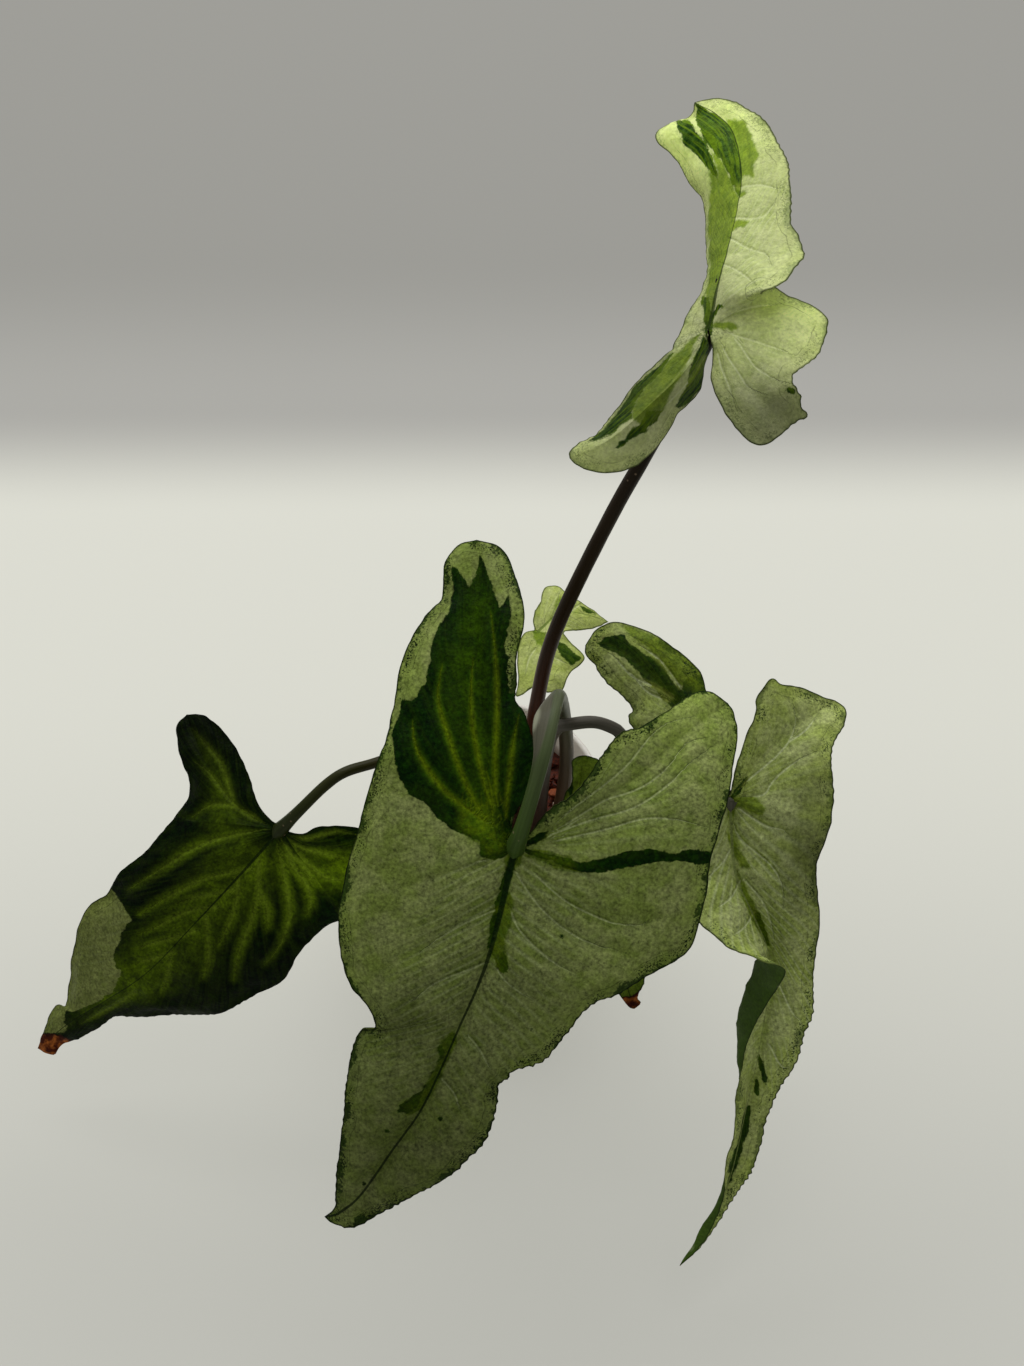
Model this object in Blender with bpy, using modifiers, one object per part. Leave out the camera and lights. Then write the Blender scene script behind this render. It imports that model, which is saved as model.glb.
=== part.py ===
"""An arrowhead plant (a variegated aroid with sagittate leaves) in a small nursery pot.

Lengths are in millimetres and are turned into metres where a mesh is made. The origin is the centre of the
pot's underside, +Z is up, and the plant faces -Y.

Each blade is laid out as it is seen from one standpoint above and in front of the plant: x to the right and
y up from the blade's junction with its stalk, in the plane square to the line of sight, and z towards the
standpoint.
"""

import math
import random

import bmesh
import bpy
from mathutils import Vector

MM = 0.001
GAP = 0.3

POT_HEIGHT = 66.0
POT_BASE_RADIUS = 25.5
POT_TOP_RADIUS = 37.1
POT_WALL = 1.0
POT_FLOOR = 1.4
LIP_RADIUS = 38.2
LIP_HEIGHT = 3.0
LIP_ROUND = 0.6
FOOT_CHAMFER = 1.2
POT_SEGMENTS = 48
DRAIN_RADIUS = 3.0
DRAIN_RING = 15.0
DRAIN_COUNT = 4

MIX_TOP = 56.0
MIX_SEGMENTS = 32
CHUNK_COUNT = 46
CHUNK_SEED = 7
CHUNK_LENGTH = (2.6, 5.2)
CHUNK_WIDTH = (2.0, 3.6)
CHUNK_THICKNESS = (1.2, 2.2)
CHUNK_TILT = 0.4
HOLE_CUTTER = 28.0
HOLE_PLAY = 0.5
HOLE_SIDES = 10

BLADE_THICKNESS = 0.75
MAIN_ROWS = 16
LOBE_ROWS = 9
COLUMNS = 3

SIGHT_PITCH = math.radians(54.0)
EYE = Vector((8.45, -352.8, 613.3))
SIGHT = Vector((0.0, math.cos(SIGHT_PITCH), -math.sin(SIGHT_PITCH)))
RIGHT = Vector((1.0, 0.0, 0.0))
UP = Vector((0.0, math.sin(SIGHT_PITCH), math.cos(SIGHT_PITCH)))

# Stalk routes from inside the potting mix to the blade, with the radius at the foot and at the blade.
STALKS = {
    "stalk_tall": (
        2.35, 2.0,
        [(15, 0.5, 43), (15, 0.5, 57), (15.8, 0.3, 84), (15, 0, 103), (17, -3, 123), (19, -1.5, 142),
         (23.5, 1, 157), (30.5, 6, 174), (37, 11.5, 195.5), (45, 15, 210.5), (54.5, 23, 232),
         (58.8, 27.4, 242.3)],
    ),
    "stalk_front": (
        2.3, 1.9,
        [(21, -12, 43), (21, -12, 57), (23.7, -11, 74), (25.2, -10.5, 96.5), (24.7, -11, 116.5),
         (23, -17, 140), (20.2, -32, 165.5), (17.6, -43, 173.5), (15.4, -54, 171.5),
         (13.2, -59.5, 165), (10.9, -64.3, 156.2), (9.3, -68, 150.6)],
    ),
    "stalk_left": (
        1.8, 1.5,
        [(10, -5, 43), (10, -5, 57), (10.5, -6, 85), (10, -8, 103), (4.8, -11, 112.5), (-4, -14.5, 118),
         (-16, -18.5, 122), (-31, -26, 126), (-46, -32.5, 125), (-53.5, -38.2, 119.5), (-59.7, -42.2, 112.4)],
    ),
    "stalk_right": (
        2.1, 1.7,
        [(17, -9, 43), (17, -9, 57), (18, -12, 90), (19.3, -15.5, 116), (21.5, -19, 131),
         (25.5, -21.5, 137), (32.5, -21.5, 138), (38.5, -21.5, 134.5), (41.4, -22.4, 131.3),
         (51.8, -27.6, 125), (63.4, -34.4, 122), (72, -37.7, 122.3)],
    ),
    "stalk_young": (
        1.3, 1.0,
        [(15.5, 7, 43), (15.5, 7, 57), (15.5, 10, 80), (16, 17, 103), (16.5, 26.8, 118.1)],
    ),
    "stalk_low": (
        1.4, 1.1,
        [(28, -12, 43), (28, -12, 57), (28.5, -14, 75), (29.5, -19, 90), (30.6, -25.4, 99.7)],
    ),
}

# Each blade: its junction in space, how far it sags with distance, how far its halves puff up between vein
# and margin, and its veins and margins. A margin runs from the waist or the sinus to its lobe's tip.
BLADES = {
    "leaf_tall": dict(
        junction=(59.4, 27.3, 246.6), sag=0.0, puff=0.05,
        midrib=[(0, 0, 0), (1, 4.5, -1), (2.5, 13, -4), (4.5, 20, -8), (7, 30, -15), (8.5, 40.5, -24),
                (6.5, 51, -34), (2, 56, -40), (-3.5, 59, -46)],
        main_left=[(-9, -5.5, -2), (-8.5, -3.5, -3), (-6, 2.5, -5), (-2.5, 8.5, -8), (-0.5, 13.5, -16),
                   (-0.5, 19, -28), (-0.5, 26, -38), (-1.5, 33, -44), (-3.5, 36, -46), (-5, 38.5, -47),
                   (-7, 42.5, -49), (-10, 46, -51), (-13, 49, -53), (-12.5, 51, -54), (-8, 53.5, -53),
                   (-5, 55, -50), (-3.5, 59, -46)],
        main_right=[(15.5, 10.5, -3), (14, 9.5, 6), (19, 12, 7), (23, 16.5, 4), (25, 19, 1),
                    (23.5, 24.5, -4), (21.5, 28, -6), (21.5, 36.5, -11), (20.5, 44, -18), (18, 49, -23),
                    (15.5, 53.5, -28), (12, 56.5, -33), (8, 59, -38), (3, 60.5, -42), (-0.5, 60, -45),
                    (-3.5, 59, -46)],
        left_vein=[(0, 0, 0), (-4.5, -9, 3), (-15, -19.5, 5), (-25.5, -28.5, 4), (-36, -33.5, 0)],
        left_inner=[(-1, -1.5, 0), (0, -4.5, -2), (-0.5, -9, -4), (-1.5, -15, -5), (-4, -19, -5),
                    (-7.5, -22.5, -4), (-11, -27.5, -4), (-15, -32.5, -3), (-20, -35.5, -2),
                    (-24, -37, -1), (-29.5, -37, 0), (-34, -35.5, 0), (-36, -33.5, 0)],
        left_outer=[(-9, -5.5, -2), (-14, -9, -3), (-19, -14, -4), (-24, -20, -4), (-28.5, -26.5, -3),
                    (-33.5, -29, -1), (-36, -31.5, 0), (-36, -33.5, 0)],
        right_vein=[(0, 0, 0), (5.5, -6.5, 3), (12, -14.5, 6), (19, -27.5, 8)],
        right_inner=[(1.5, -1, 0), (1, -4.5, 1), (1, -9, 1), (1, -13.5, 2), (2.5, -18, 4), (4.5, -22, 6),
                     (8, -26.5, 8), (11.5, -29.5, 10), (15, -30, 10), (19, -27.5, 8)],
        right_outer=[(15.5, 10.5, -3), (17.5, 11, -5), (21, 8.5, -5), (26, 6.5, -4), (29.5, 3.5, -3),
                     (31, 0.5, -2), (29, -6, 2), (25, -9.5, 5), (22, -12, 6), (22, -14.5, 7),
                     (24, -17, 6), (24, -20, 4), (25.5, -22.5, 2), (23, -24, 4), (19, -27.5, 8)],
    ),
    "leaf_front": dict(
        junction=(9.3, -68.8, 145.9), sag=0.0011, puff=0.06,
        midrib=[(0, 0, 0), (-5.5, -23.5, 1), (-9.5, -36, 1), (-15.5, -49.5, 1), (-21, -62, 0),
                (-26, -72, -1), (-33.5, -82.5, -2), (-42, -94.5, -5), (-48, -99.5, -8),
                (-52, -100.5, -12)],
        main_left=[(-48, -16.5, 0), (-48, -25, 0), (-47, -32, 0), (-45, -37.5, 1), (-41.5, -42, 2),
                   (-38.5, -47, 2), (-38.5, -49.5, 1), (-42.5, -50.5, -1), (-44.5, -56, -1),
                   (-46, -62, 0), (-47, -73, 0), (-48.5, -87, -3), (-49, -93, -5), (-49.5, -98, -8),
                   (-52, -100.5, -12)],
        main_right=[(50.5, -18.5, 0), (47.5, -27.5, -1), (41, -32.5, 0), (34.5, -36, 2),
                    (27.5, -40.5, 3), (20, -43.5, 2), (14, -50.5, 0), (9, -57, 0), (4.5, -59.5, 1),
                    (-0.5, -61, 2), (-2, -63, 1), (-4.5, -64.5, -1), (-5.5, -72, -1), (-8, -79.5, -1),
                    (-13.5, -85.5, -2), (-21, -91.5, -3), (-31.5, -96.5, -4), (-38.5, -101, -6),
                    (-45, -103.5, -7), (-49.5, -102.5, -9), (-52, -100.5, -12)],
        left_vein=[(0, 0, 0), (-4, 16, 1), (-8.5, 35, 1), (-11, 56.5, 0), (-10.5, 84, -3)],
        left_inner=[(-3, 5, 0), (-1, 8, 2), (1.5, 11, 3), (4, 17.5, 4), (5.5, 25.5, 4), (4.5, 31, 3),
                    (2.5, 37, 2), (0, 40.5, 2), (0.5, 46, 2), (0.5, 52.5, 3), (2.5, 61, 3),
                    (2.5, 66, 2), (0.5, 72.5, 0), (-2, 79, -2), (-5.5, 82.5, -3), (-10.5, 84, -3)],
        left_outer=[(-48, -16.5, 0), (-46.5, -8.5, 0), (-43, 4.5, 2), (-40, 16, 3), (-37.5, 23.5, 4),
                    (-34.5, 33, 3), (-31.5, 49, 1), (-28, 57.5, 0), (-23.5, 65, -1), (-20.5, 68, -2),
                    (-20, 72.5, -3), (-19, 78, -4), (-15.5, 82.5, -4), (-10.5, 84, -3)],
        right_vein=[(0, 0, 0), (17.5, 9, 1), (34, 20, 1), (47.5, 32, 0), (58, 39.5, -3)],
        right_inner=[(4, -0.5, 0), (5, 4, 1), (7, 8, 2), (10.5, 11.5, 3), (14.5, 13.5, 3),
                     (19, 18.5, 3), (21.5, 22, 3), (24.5, 26.5, 3), (28.5, 31, 2), (34, 33, 1),
                     (41, 37, 0), (47, 41.5, -1), (52.5, 43, -2), (58, 39.5, -3)],
        right_outer=[(50.5, -18.5, 0), (52, -13, 0), (53, -5.5, 1), (55.5, 3.5, 2), (58.5, 15, 2),
                     (59.5, 22, 1), (61, 31, -1), (60, 36, -2), (58, 39.5, -3)],
    ),
    "leaf_left": dict(
        junction=(-60.0, -41.0, 110.5), sag=0.0, puff=0.06,
        midrib=[(0, 0, 0), (-12, -13.5, -5), (-25, -27.5, -12), (-39, -42, -22), (-51.5, -50.5, -32),
                (-61.5, -56.5, -41), (-71.5, -64.5, -52)],
        main_left=[(-31.5, 3, -14), (-39, -5.5, -16), (-46.5, -12, -21), (-51, -18.5, -26),
                   (-56.5, -22.5, -30), (-59.5, -29.5, -34), (-62, -38.5, -38), (-63, -46, -42),
                   (-63, -52, -45), (-65.5, -52.5, -47), (-68, -56, -49), (-70, -60.5, -51),
                   (-71.5, -64.5, -52)],
        main_right=[(19, -26, -8), (13.5, -28.5, -9), (9.5, -32.5, -11), (5, -37, -14), (1, -44, -18),
                    (-7.5, -49, -22), (-16.5, -53.5, -26), (-22, -54.5, -29), (-30, -54.5, -32),
                    (-39, -55, -35), (-48, -54.5, -38), (-55, -59, -43), (-60.5, -62, -47),
                    (-64.5, -63, -50), (-71.5, -64.5, -52)],
        left_vein=[(0, 0, 0), (-8.5, 9, -4), (-17.5, 21.5, -9), (-27.5, 34, -16)],
        left_inner=[(-1.5, 2, 0), (-6.5, 9, -3), (-10.5, 19.5, -5), (-16.5, 29, -9), (-22, 33.5, -13),
                    (-27.5, 34, -16)],
        left_outer=[(-31.5, 3, -14), (-27.5, 9.5, -13), (-27, 15, -12), (-28.5, 20, -13),
                    (-30, 26.5, -15), (-30.5, 31, -16), (-27.5, 34, -16)],
        right_vein=[(0, 0, 0), (12, -6, 0), (25, -11, -3), (36, -12.5, -7)],
        right_inner=[(2.5, -0.5, 0), (7, -1, 2), (11, 0.5, 3), (17.5, 1, 2), (22.5, 0.5, 1),
                     (29.5, -2.5, -1), (34.5, -7, -4), (36, -12.5, -7)],
        right_outer=[(19, -26, -8), (25, -24, -8), (31, -21, -8), (35, -17, -8), (36, -12.5, -7)],
    ),
    "leaf_right": dict(
        junction=(71.7, -39.0, 124.3), sag=0.0, puff=0.05,
        midrib=[(0, 0, 0), (1.5, -21, -2), (6, -32, -3), (10.5, -42, -6), (12.5, -51, -11),
                (10.5, -61, -17), (8, -75.5, -23), (5, -89, -26), (0.5, -108.5, -28),
                (-5, -122.5, -29), (-14.5, -135.5, -30)],
        main_left=[(-15.5, -4.5, 2), (-17, -15, 3), (-14.5, -26.5, 5), (-9, -36, 8), (-4.5, -40, 10),
                   (1.5, -44.5, 13), (8, -47, 15), (14, -48.5, 16), (16, -50, 15), (15, -53, 11),
                   (11.5, -58.5, 4), (7, -66, -4), (4.5, -72.5, -10), (3, -79, -15), (1.5, -87, -19),
                   (1, -94, -22), (0, -101.5, -23), (-1, -111.5, -22), (-3.5, -121, -24),
                   (-8.5, -129.5, -28), (-14.5, -135.5, -30)],
        main_right=[(29.5, -7, 5), (27.5, -13, 2), (25, -19.5, 0), (25.5, -27, 0), (26, -35, -2),
                    (25.5, -42.5, -4), (24, -51.5, -9), (24, -60.5, -14), (21.5, -68, -17),
                    (19.5, -75.5, -20), (14, -84.5, -24), (10.5, -93.5, -26), (9.5, -98.5, -27),
                    (6.5, -107.5, -28), (1.5, -115, -29), (-4, -124, -30), (-9.5, -131, -30),
                    (-14.5, -135.5, -30)],
        left_vein=[(0, 0, 0), (-8.5, 17, 1), (-20.5, 33, 1), (-32, 43, -1), (-42, 44.5, -4)],
        left_inner=[(-1, 2, 0), (-3, 15.5, 2), (-6.5, 30, 3), (-8, 36, 2), (-11, 39.5, 1),
                    (-17, 44.5, 0), (-23, 48.5, -1), (-28, 50.5, -2), (-33.5, 51.5, -3),
                    (-38.5, 49.5, -4), (-40.5, 47, -4), (-42, 44.5, -4)],
        left_outer=[(-15.5, -4.5, 2), (-18, 2.5, 1), (-23, 13, 1), (-28.5, 21, 1), (-29.5, 24, 0),
                    (-28.5, 26, 0), (-31.5, 30, -1), (-35, 33, -2), (-37.5, 36, -3), (-39.5, 39, -4),
                    (-42, 42, -4), (-42, 44.5, -4)],
        right_vein=[(0, 0, 0), (6.5, 9, 1), (17, 19, 0), (30.5, 28.5, -4)],
        right_inner=[(1, 1.5, 0), (1.5, 8.5, 1), (4.5, 18, 3), (6.5, 22, 4), (8, 25, 4), (7, 28.5, 5),
                     (10, 33, 4), (12, 35, 2), (15, 33, 0), (20, 32.5, -2), (26, 30, -3),
                     (30.5, 28.5, -4)],
        right_outer=[(29.5, -7, 5), (30, 0, 6), (30, 5, 6), (29.5, 10, 6), (30, 15.5, 4),
                     (33, 21.5, 0), (33.5, 26, -3), (30.5, 28.5, -4)],
        # The lower left half is rolled over: its middle bows to the left of both its edges.
        bows={"main_left": [(0.36, 0, 0, 0), (0.42, -8, 2, -2), (0.50, -8, 0, -2), (0.60, -3, 0, 0),
                            (0.66, 0, 0, 0), (0.80, 0, 0, 0), (0.90, -3, 0, 0), (1.0, 0, 0, 0)]},
    ),
    "leaf_young": dict(
        junction=(16.5, 25.8, 119.4), sag=0.0, puff=0.05,
        midrib=[(0, 0, 0), (7, 6, -2), (14.5, 5.5, -5), (22, 3, -9)],
        main_left=[(1, 9.5, -4), (2, 13.5, -6), (6, 14, -7), (8.5, 12.5, -7), (13, 9.5, -7),
                   (17, 6.5, -8), (22, 3, -9)],
        main_right=[(8, -0.5, 1), (9, 0.5, 0), (13, 0.5, -3), (17.5, 1, -6), (22, 3, -9)],
        left_vein=[(0, 0, 0), (-0.5, 3, -1), (-1, 6.5, -2)],
        left_inner=[(-1, 1, 0), (-1.5, 3.5, -1), (-1, 6.5, -2)],
        left_outer=[(1, 9.5, -4), (0, 8.5, -3), (-1, 6.5, -2)],
        right_vein=[(0, 0, 0), (0.5, -6, 3), (2, -12.5, 6), (3, -19, 8)],
        right_inner=[(-1, 0.5, 0), (-4.5, -0.5, 0), (-6, -4.5, 1), (-6.5, -9.5, 3), (-6, -14.5, 5),
                     (-7, -20, 6), (-4.5, -19.5, 7), (-2, -17.5, 8), (3, -19, 8)],
        right_outer=[(8, -0.5, 1), (11, -4, 1), (14.5, -8.5, 1), (10.5, -12.5, 3), (9, -15, 5),
                     (7.5, -18.5, 6), (3, -19, 8)],
    ),
    "leaf_low": dict(
        junction=(30.6, -25.8, 100.4), sag=0.0008, puff=0.05,
        midrib=[(0, 0, 0), (4, -19.5, 3), (8, -39.5, 5), (15, -62, 4)],
        main_left=[(-7, -7.5, -1), (-8, -13.5, -1), (-6.5, -24.5, 0), (-1.5, -38, 2), (4.5, -50, 4),
                   (10.5, -58, 5), (13.5, -61.5, 5), (15, -62, 4)],
        main_right=[(14.5, -7.5, -2), (17.5, -16.5, -2), (19, -29, 0), (19.5, -41, 2), (18, -53.5, 4),
                    (16.5, -57, 5), (16, -59, 5), (17, -60.5, 4), (15, -62, 4)],
        left_vein=[(0, 0, 0), (-2, 6, 0), (-2.5, 14, -1)],
        left_inner=[(-0.5, 2, 0), (0, 7.5, 1), (-0.5, 12.5, 0), (-2.5, 14, -1)],
        left_outer=[(-7, -7.5, -1), (-7, -1.5, 0), (-6, 3.5, 1), (-4, 6.5, 2), (-4, 10.5, 1),
                    (-4.5, 13, 0), (-2.5, 14, -1)],
        right_vein=[(0, 0, 0), (3, 6, 0), (6, 13.5, -1)],
        right_inner=[(1, 2, 0), (1, 7.5, 1), (2.5, 13, 0), (6, 13.5, -1)],
        right_outer=[(14.5, -7.5, -2), (13, 0, -1), (10.5, 7.5, -1), (8.5, 12, -1), (6, 13.5, -1)],
    ),
}

COLOURS = {
    "pot": ((0.78, 0.77, 0.74), 0.35),
    "potting_mix": ((0.06, 0.022, 0.014), 0.95),
    "leaf_tall": ((0.42, 0.52, 0.2), 0.45),
    "leaf_front": ((0.17, 0.22, 0.1), 0.5),
    "leaf_left": ((0.05, 0.09, 0.025), 0.45),
    "leaf_right": ((0.18, 0.24, 0.1), 0.5),
    "leaf_young": ((0.38, 0.5, 0.18), 0.5),
    "leaf_low": ((0.2, 0.28, 0.1), 0.5),
    "stalk": ((0.07, 0.05, 0.045), 0.4),
}


def clear_scene():
    for ob in list(bpy.data.objects):
        bpy.data.objects.remove(ob)


def material(name):
    found = bpy.data.materials.get(name)
    if found:
        return found
    colour, roughness = COLOURS[name]
    mat = bpy.data.materials.new(name)
    mat.use_nodes = True
    shader = mat.node_tree.nodes["Principled BSDF"]
    shader.inputs["Base Color"].default_value = (*colour, 1.0)
    shader.inputs["Roughness"].default_value = roughness
    shader.inputs["Metallic"].default_value = 0.0
    return mat


def add_object(name, mesh, collection, look):
    ob = bpy.data.objects.new(name, mesh)
    collection.objects.link(ob)
    if look:
        mesh.materials.append(material(look))
    return ob


def as_cutter(ob):
    ob.hide_render = True
    ob.display_type = "WIRE"
    return ob


def boolean(ob, operation, operand):
    cut = ob.modifiers.new(operation.lower(), "BOOLEAN")
    cut.operation = operation
    cut.solver = "EXACT"
    if isinstance(operand, bpy.types.Collection):
        cut.operand_type = "COLLECTION"
        cut.collection = operand
    else:
        cut.object = operand


def apply_modifiers(ob):
    graph = bpy.context.evaluated_depsgraph_get()
    mesh = bpy.data.meshes.new_from_object(ob.evaluated_get(graph))
    ob.modifiers.clear()
    ob.data = mesh


def spline(points, t):
    """The point at t from 0 to 1 on a smooth curve through points, which it passes at even steps."""
    spans = len(points) - 1
    i = min(int(t * spans), spans - 1)
    f = t * spans - i
    b, c = points[i], points[i + 1]
    a = points[i - 1] if i else b * 2 - c
    d = points[i + 2] if i + 2 <= spans else c * 2 - b
    return 0.5 * (2 * b + (c - a) * f + (2 * a - 5 * b + 4 * c - d) * f**2 + (3 * b - a - 3 * c + d) * f**3)


def evenly(points, count):
    """count + 1 points at even distances along the smooth curve through points."""
    fine = 12 * (len(points) - 1)
    dense = [spline(points, i / fine) for i in range(fine + 1)]
    reach = [0.0]
    for p, q in zip(dense, dense[1:]):
        reach.append(reach[-1] + (q - p).length)
    found = []
    k = 0
    for i in range(count + 1):
        want = reach[-1] * i / count
        while k < fine - 1 and reach[k + 1] < want:
            k += 1
        step = reach[k + 1] - reach[k]
        found.append(dense[k].lerp(dense[k + 1], (want - reach[k]) / step))
    return found


def bow_at(keys, t):
    """The sideways bow of a half blade's middle at t along it, between hand-set keys (t, x, y, z)."""
    if not keys or t <= keys[0][0]:
        return Vector((0.0, 0.0, 0.0))
    for (t0, *v0), (t1, *v1) in zip(keys, keys[1:]):
        if t <= t1:
            return Vector(v0).lerp(Vector(v1), (t - t0) / (t1 - t0))
    return Vector((0.0, 0.0, 0.0))


def half_blade(bm, spec, vein, margin, rows):
    """One half of a lobe: a sheet from its vein to its margin, closed at the lobe's tip."""
    veins = evenly([Vector(p) for p in spec[vein]], rows)
    edges = evenly([Vector(p) for p in spec[margin]], rows)
    keys = spec.get("bows", {}).get(margin)
    grid = []
    for k in range(rows):
        span = edges[k] - veins[k]
        rise = Vector((0.0, 0.0, span.length * spec["puff"])) + bow_at(keys, k / rows)
        line = []
        for c in range(COLUMNS + 1):
            r = c / COLUMNS
            line.append(bm.verts.new(place(spec, veins[k] + span * r + rise * (4 * r * (1 - r)))))
        grid.append(line)
    tip = bm.verts.new(place(spec, veins[rows]))
    for k in range(rows - 1):
        for c in range(COLUMNS):
            a, b = grid[k][c], grid[k][c + 1]
            d, e = grid[k + 1][c], grid[k + 1][c + 1]
            bm.faces.new((a, b, e))
            bm.faces.new((a, e, d))
    for c in range(COLUMNS):
        bm.faces.new((grid[-1][c], grid[-1][c + 1], tip))


def place(spec, p):
    """A point of a blade, in metres, from its place as seen from the standpoint."""
    junction = Vector(spec["junction"])
    depth = (junction - EYE).dot(SIGHT)
    flat = junction + RIGHT * p.x + UP * p.y
    nearer = p.z - spec["sag"] * (p.x**2 + p.y**2)
    return (flat + (EYE - flat) * (nearer / depth)) * MM


def make_blade(name, spec, collection):
    bm = bmesh.new()
    half_blade(bm, spec, "midrib", "main_left", MAIN_ROWS)
    half_blade(bm, spec, "midrib", "main_right", MAIN_ROWS)
    for side in ("left", "right"):
        half_blade(bm, spec, side + "_vein", side + "_inner", LOBE_ROWS)
        half_blade(bm, spec, side + "_vein", side + "_outer", LOBE_ROWS)
    bmesh.ops.remove_doubles(bm, verts=bm.verts, dist=0.02 * MM)
    bmesh.ops.recalc_face_normals(bm, faces=bm.faces)
    mesh = bpy.data.meshes.new(name)
    bm.to_mesh(mesh)
    bm.free()
    ob = add_object(name, mesh, collection, name)
    solid = ob.modifiers.new("thickness", "SOLIDIFY")
    solid.thickness = BLADE_THICKNESS * MM
    solid.offset = 0.0
    return ob


def make_stalk(name, foot, top, route, collection):
    curve = bpy.data.curves.new(name, "CURVE")
    curve.dimensions = "3D"
    curve.bevel_depth = MM
    curve.bevel_resolution = 2
    curve.use_fill_caps = True
    points = evenly([Vector(p) for p in route], 2 * len(route))
    line = curve.splines.new("POLY")
    line.points.add(len(points) - 1)
    for i, (point, at) in enumerate(zip(line.points, points)):
        point.co = (*(at * MM), 1.0)
        point.radius = foot + (top - foot) * i / (len(points) - 1)
    curve.materials.append(material("stalk"))
    ob = bpy.data.objects.new(name, curve)
    collection.objects.link(ob)
    return ob


def wall_radius(z):
    return POT_BASE_RADIUS + (POT_TOP_RADIUS - POT_BASE_RADIUS) * z / POT_HEIGHT


def make_pot(collection, cutters):
    """A turned cup with a rolled lip and drain holes in its floor."""
    inner_floor = wall_radius(POT_FLOOR) - POT_WALL
    inner_top = POT_TOP_RADIUS - POT_WALL
    lip_foot = POT_HEIGHT - LIP_HEIGHT
    profile = [
        (0, POT_FLOOR), (inner_floor, POT_FLOOR), (inner_top, POT_HEIGHT - LIP_ROUND),
        (inner_top + LIP_ROUND, POT_HEIGHT), (LIP_RADIUS - LIP_ROUND, POT_HEIGHT),
        (LIP_RADIUS, POT_HEIGHT - LIP_ROUND), (LIP_RADIUS, lip_foot),
        (wall_radius(lip_foot), lip_foot - LIP_ROUND), (wall_radius(FOOT_CHAMFER), FOOT_CHAMFER),
        (POT_BASE_RADIUS - FOOT_CHAMFER, 0), (0, 0),
    ]
    mesh = bpy.data.meshes.new("pot")
    bm = bmesh.new()
    verts = [bm.verts.new((r * MM, 0, z * MM)) for r, z in profile]
    for a, b in zip(verts, verts[1:]):
        bm.edges.new((a, b))
    bm.to_mesh(mesh)
    bm.free()
    pot = add_object("pot", mesh, collection, "pot")
    screw = pot.modifiers.new("turn", "SCREW")
    screw.steps = POT_SEGMENTS
    screw.render_steps = POT_SEGMENTS
    screw.use_merge_vertices = True
    screw.merge_threshold = 0.0001
    for i in range(DRAIN_COUNT):
        turn = math.tau * (i + 0.5) / DRAIN_COUNT
        bm = bmesh.new()
        bmesh.ops.create_cone(bm, cap_ends=True, segments=12, radius1=DRAIN_RADIUS * MM,
                              radius2=DRAIN_RADIUS * MM, depth=4 * POT_FLOOR * MM)
        hole = bpy.data.meshes.new(f"drain_{i}")
        bm.to_mesh(hole)
        bm.free()
        cutter = as_cutter(add_object(f"drain_{i}", hole, cutters, None))
        cutter.location = (DRAIN_RING * math.cos(turn) * MM, DRAIN_RING * math.sin(turn) * MM, 0)
        boolean(pot, "DIFFERENCE", cutter)
    pot.data.shade_smooth()
    return pot


def make_chunk(name, at, size, turn, collection):
    """One piece of bark: a rough wedge."""
    bm = bmesh.new()
    bmesh.ops.create_icosphere(bm, subdivisions=1, radius=1.0)
    mesh = bpy.data.meshes.new(name)
    bm.to_mesh(mesh)
    bm.free()
    for v in mesh.vertices:
        v.co.x *= size[0] * MM
        v.co.y *= size[1] * MM
        v.co.z *= size[2] * MM
    chunk = as_cutter(add_object(name, mesh, collection, None))
    chunk.location = at * MM
    chunk.rotation_euler = turn
    return chunk


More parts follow.
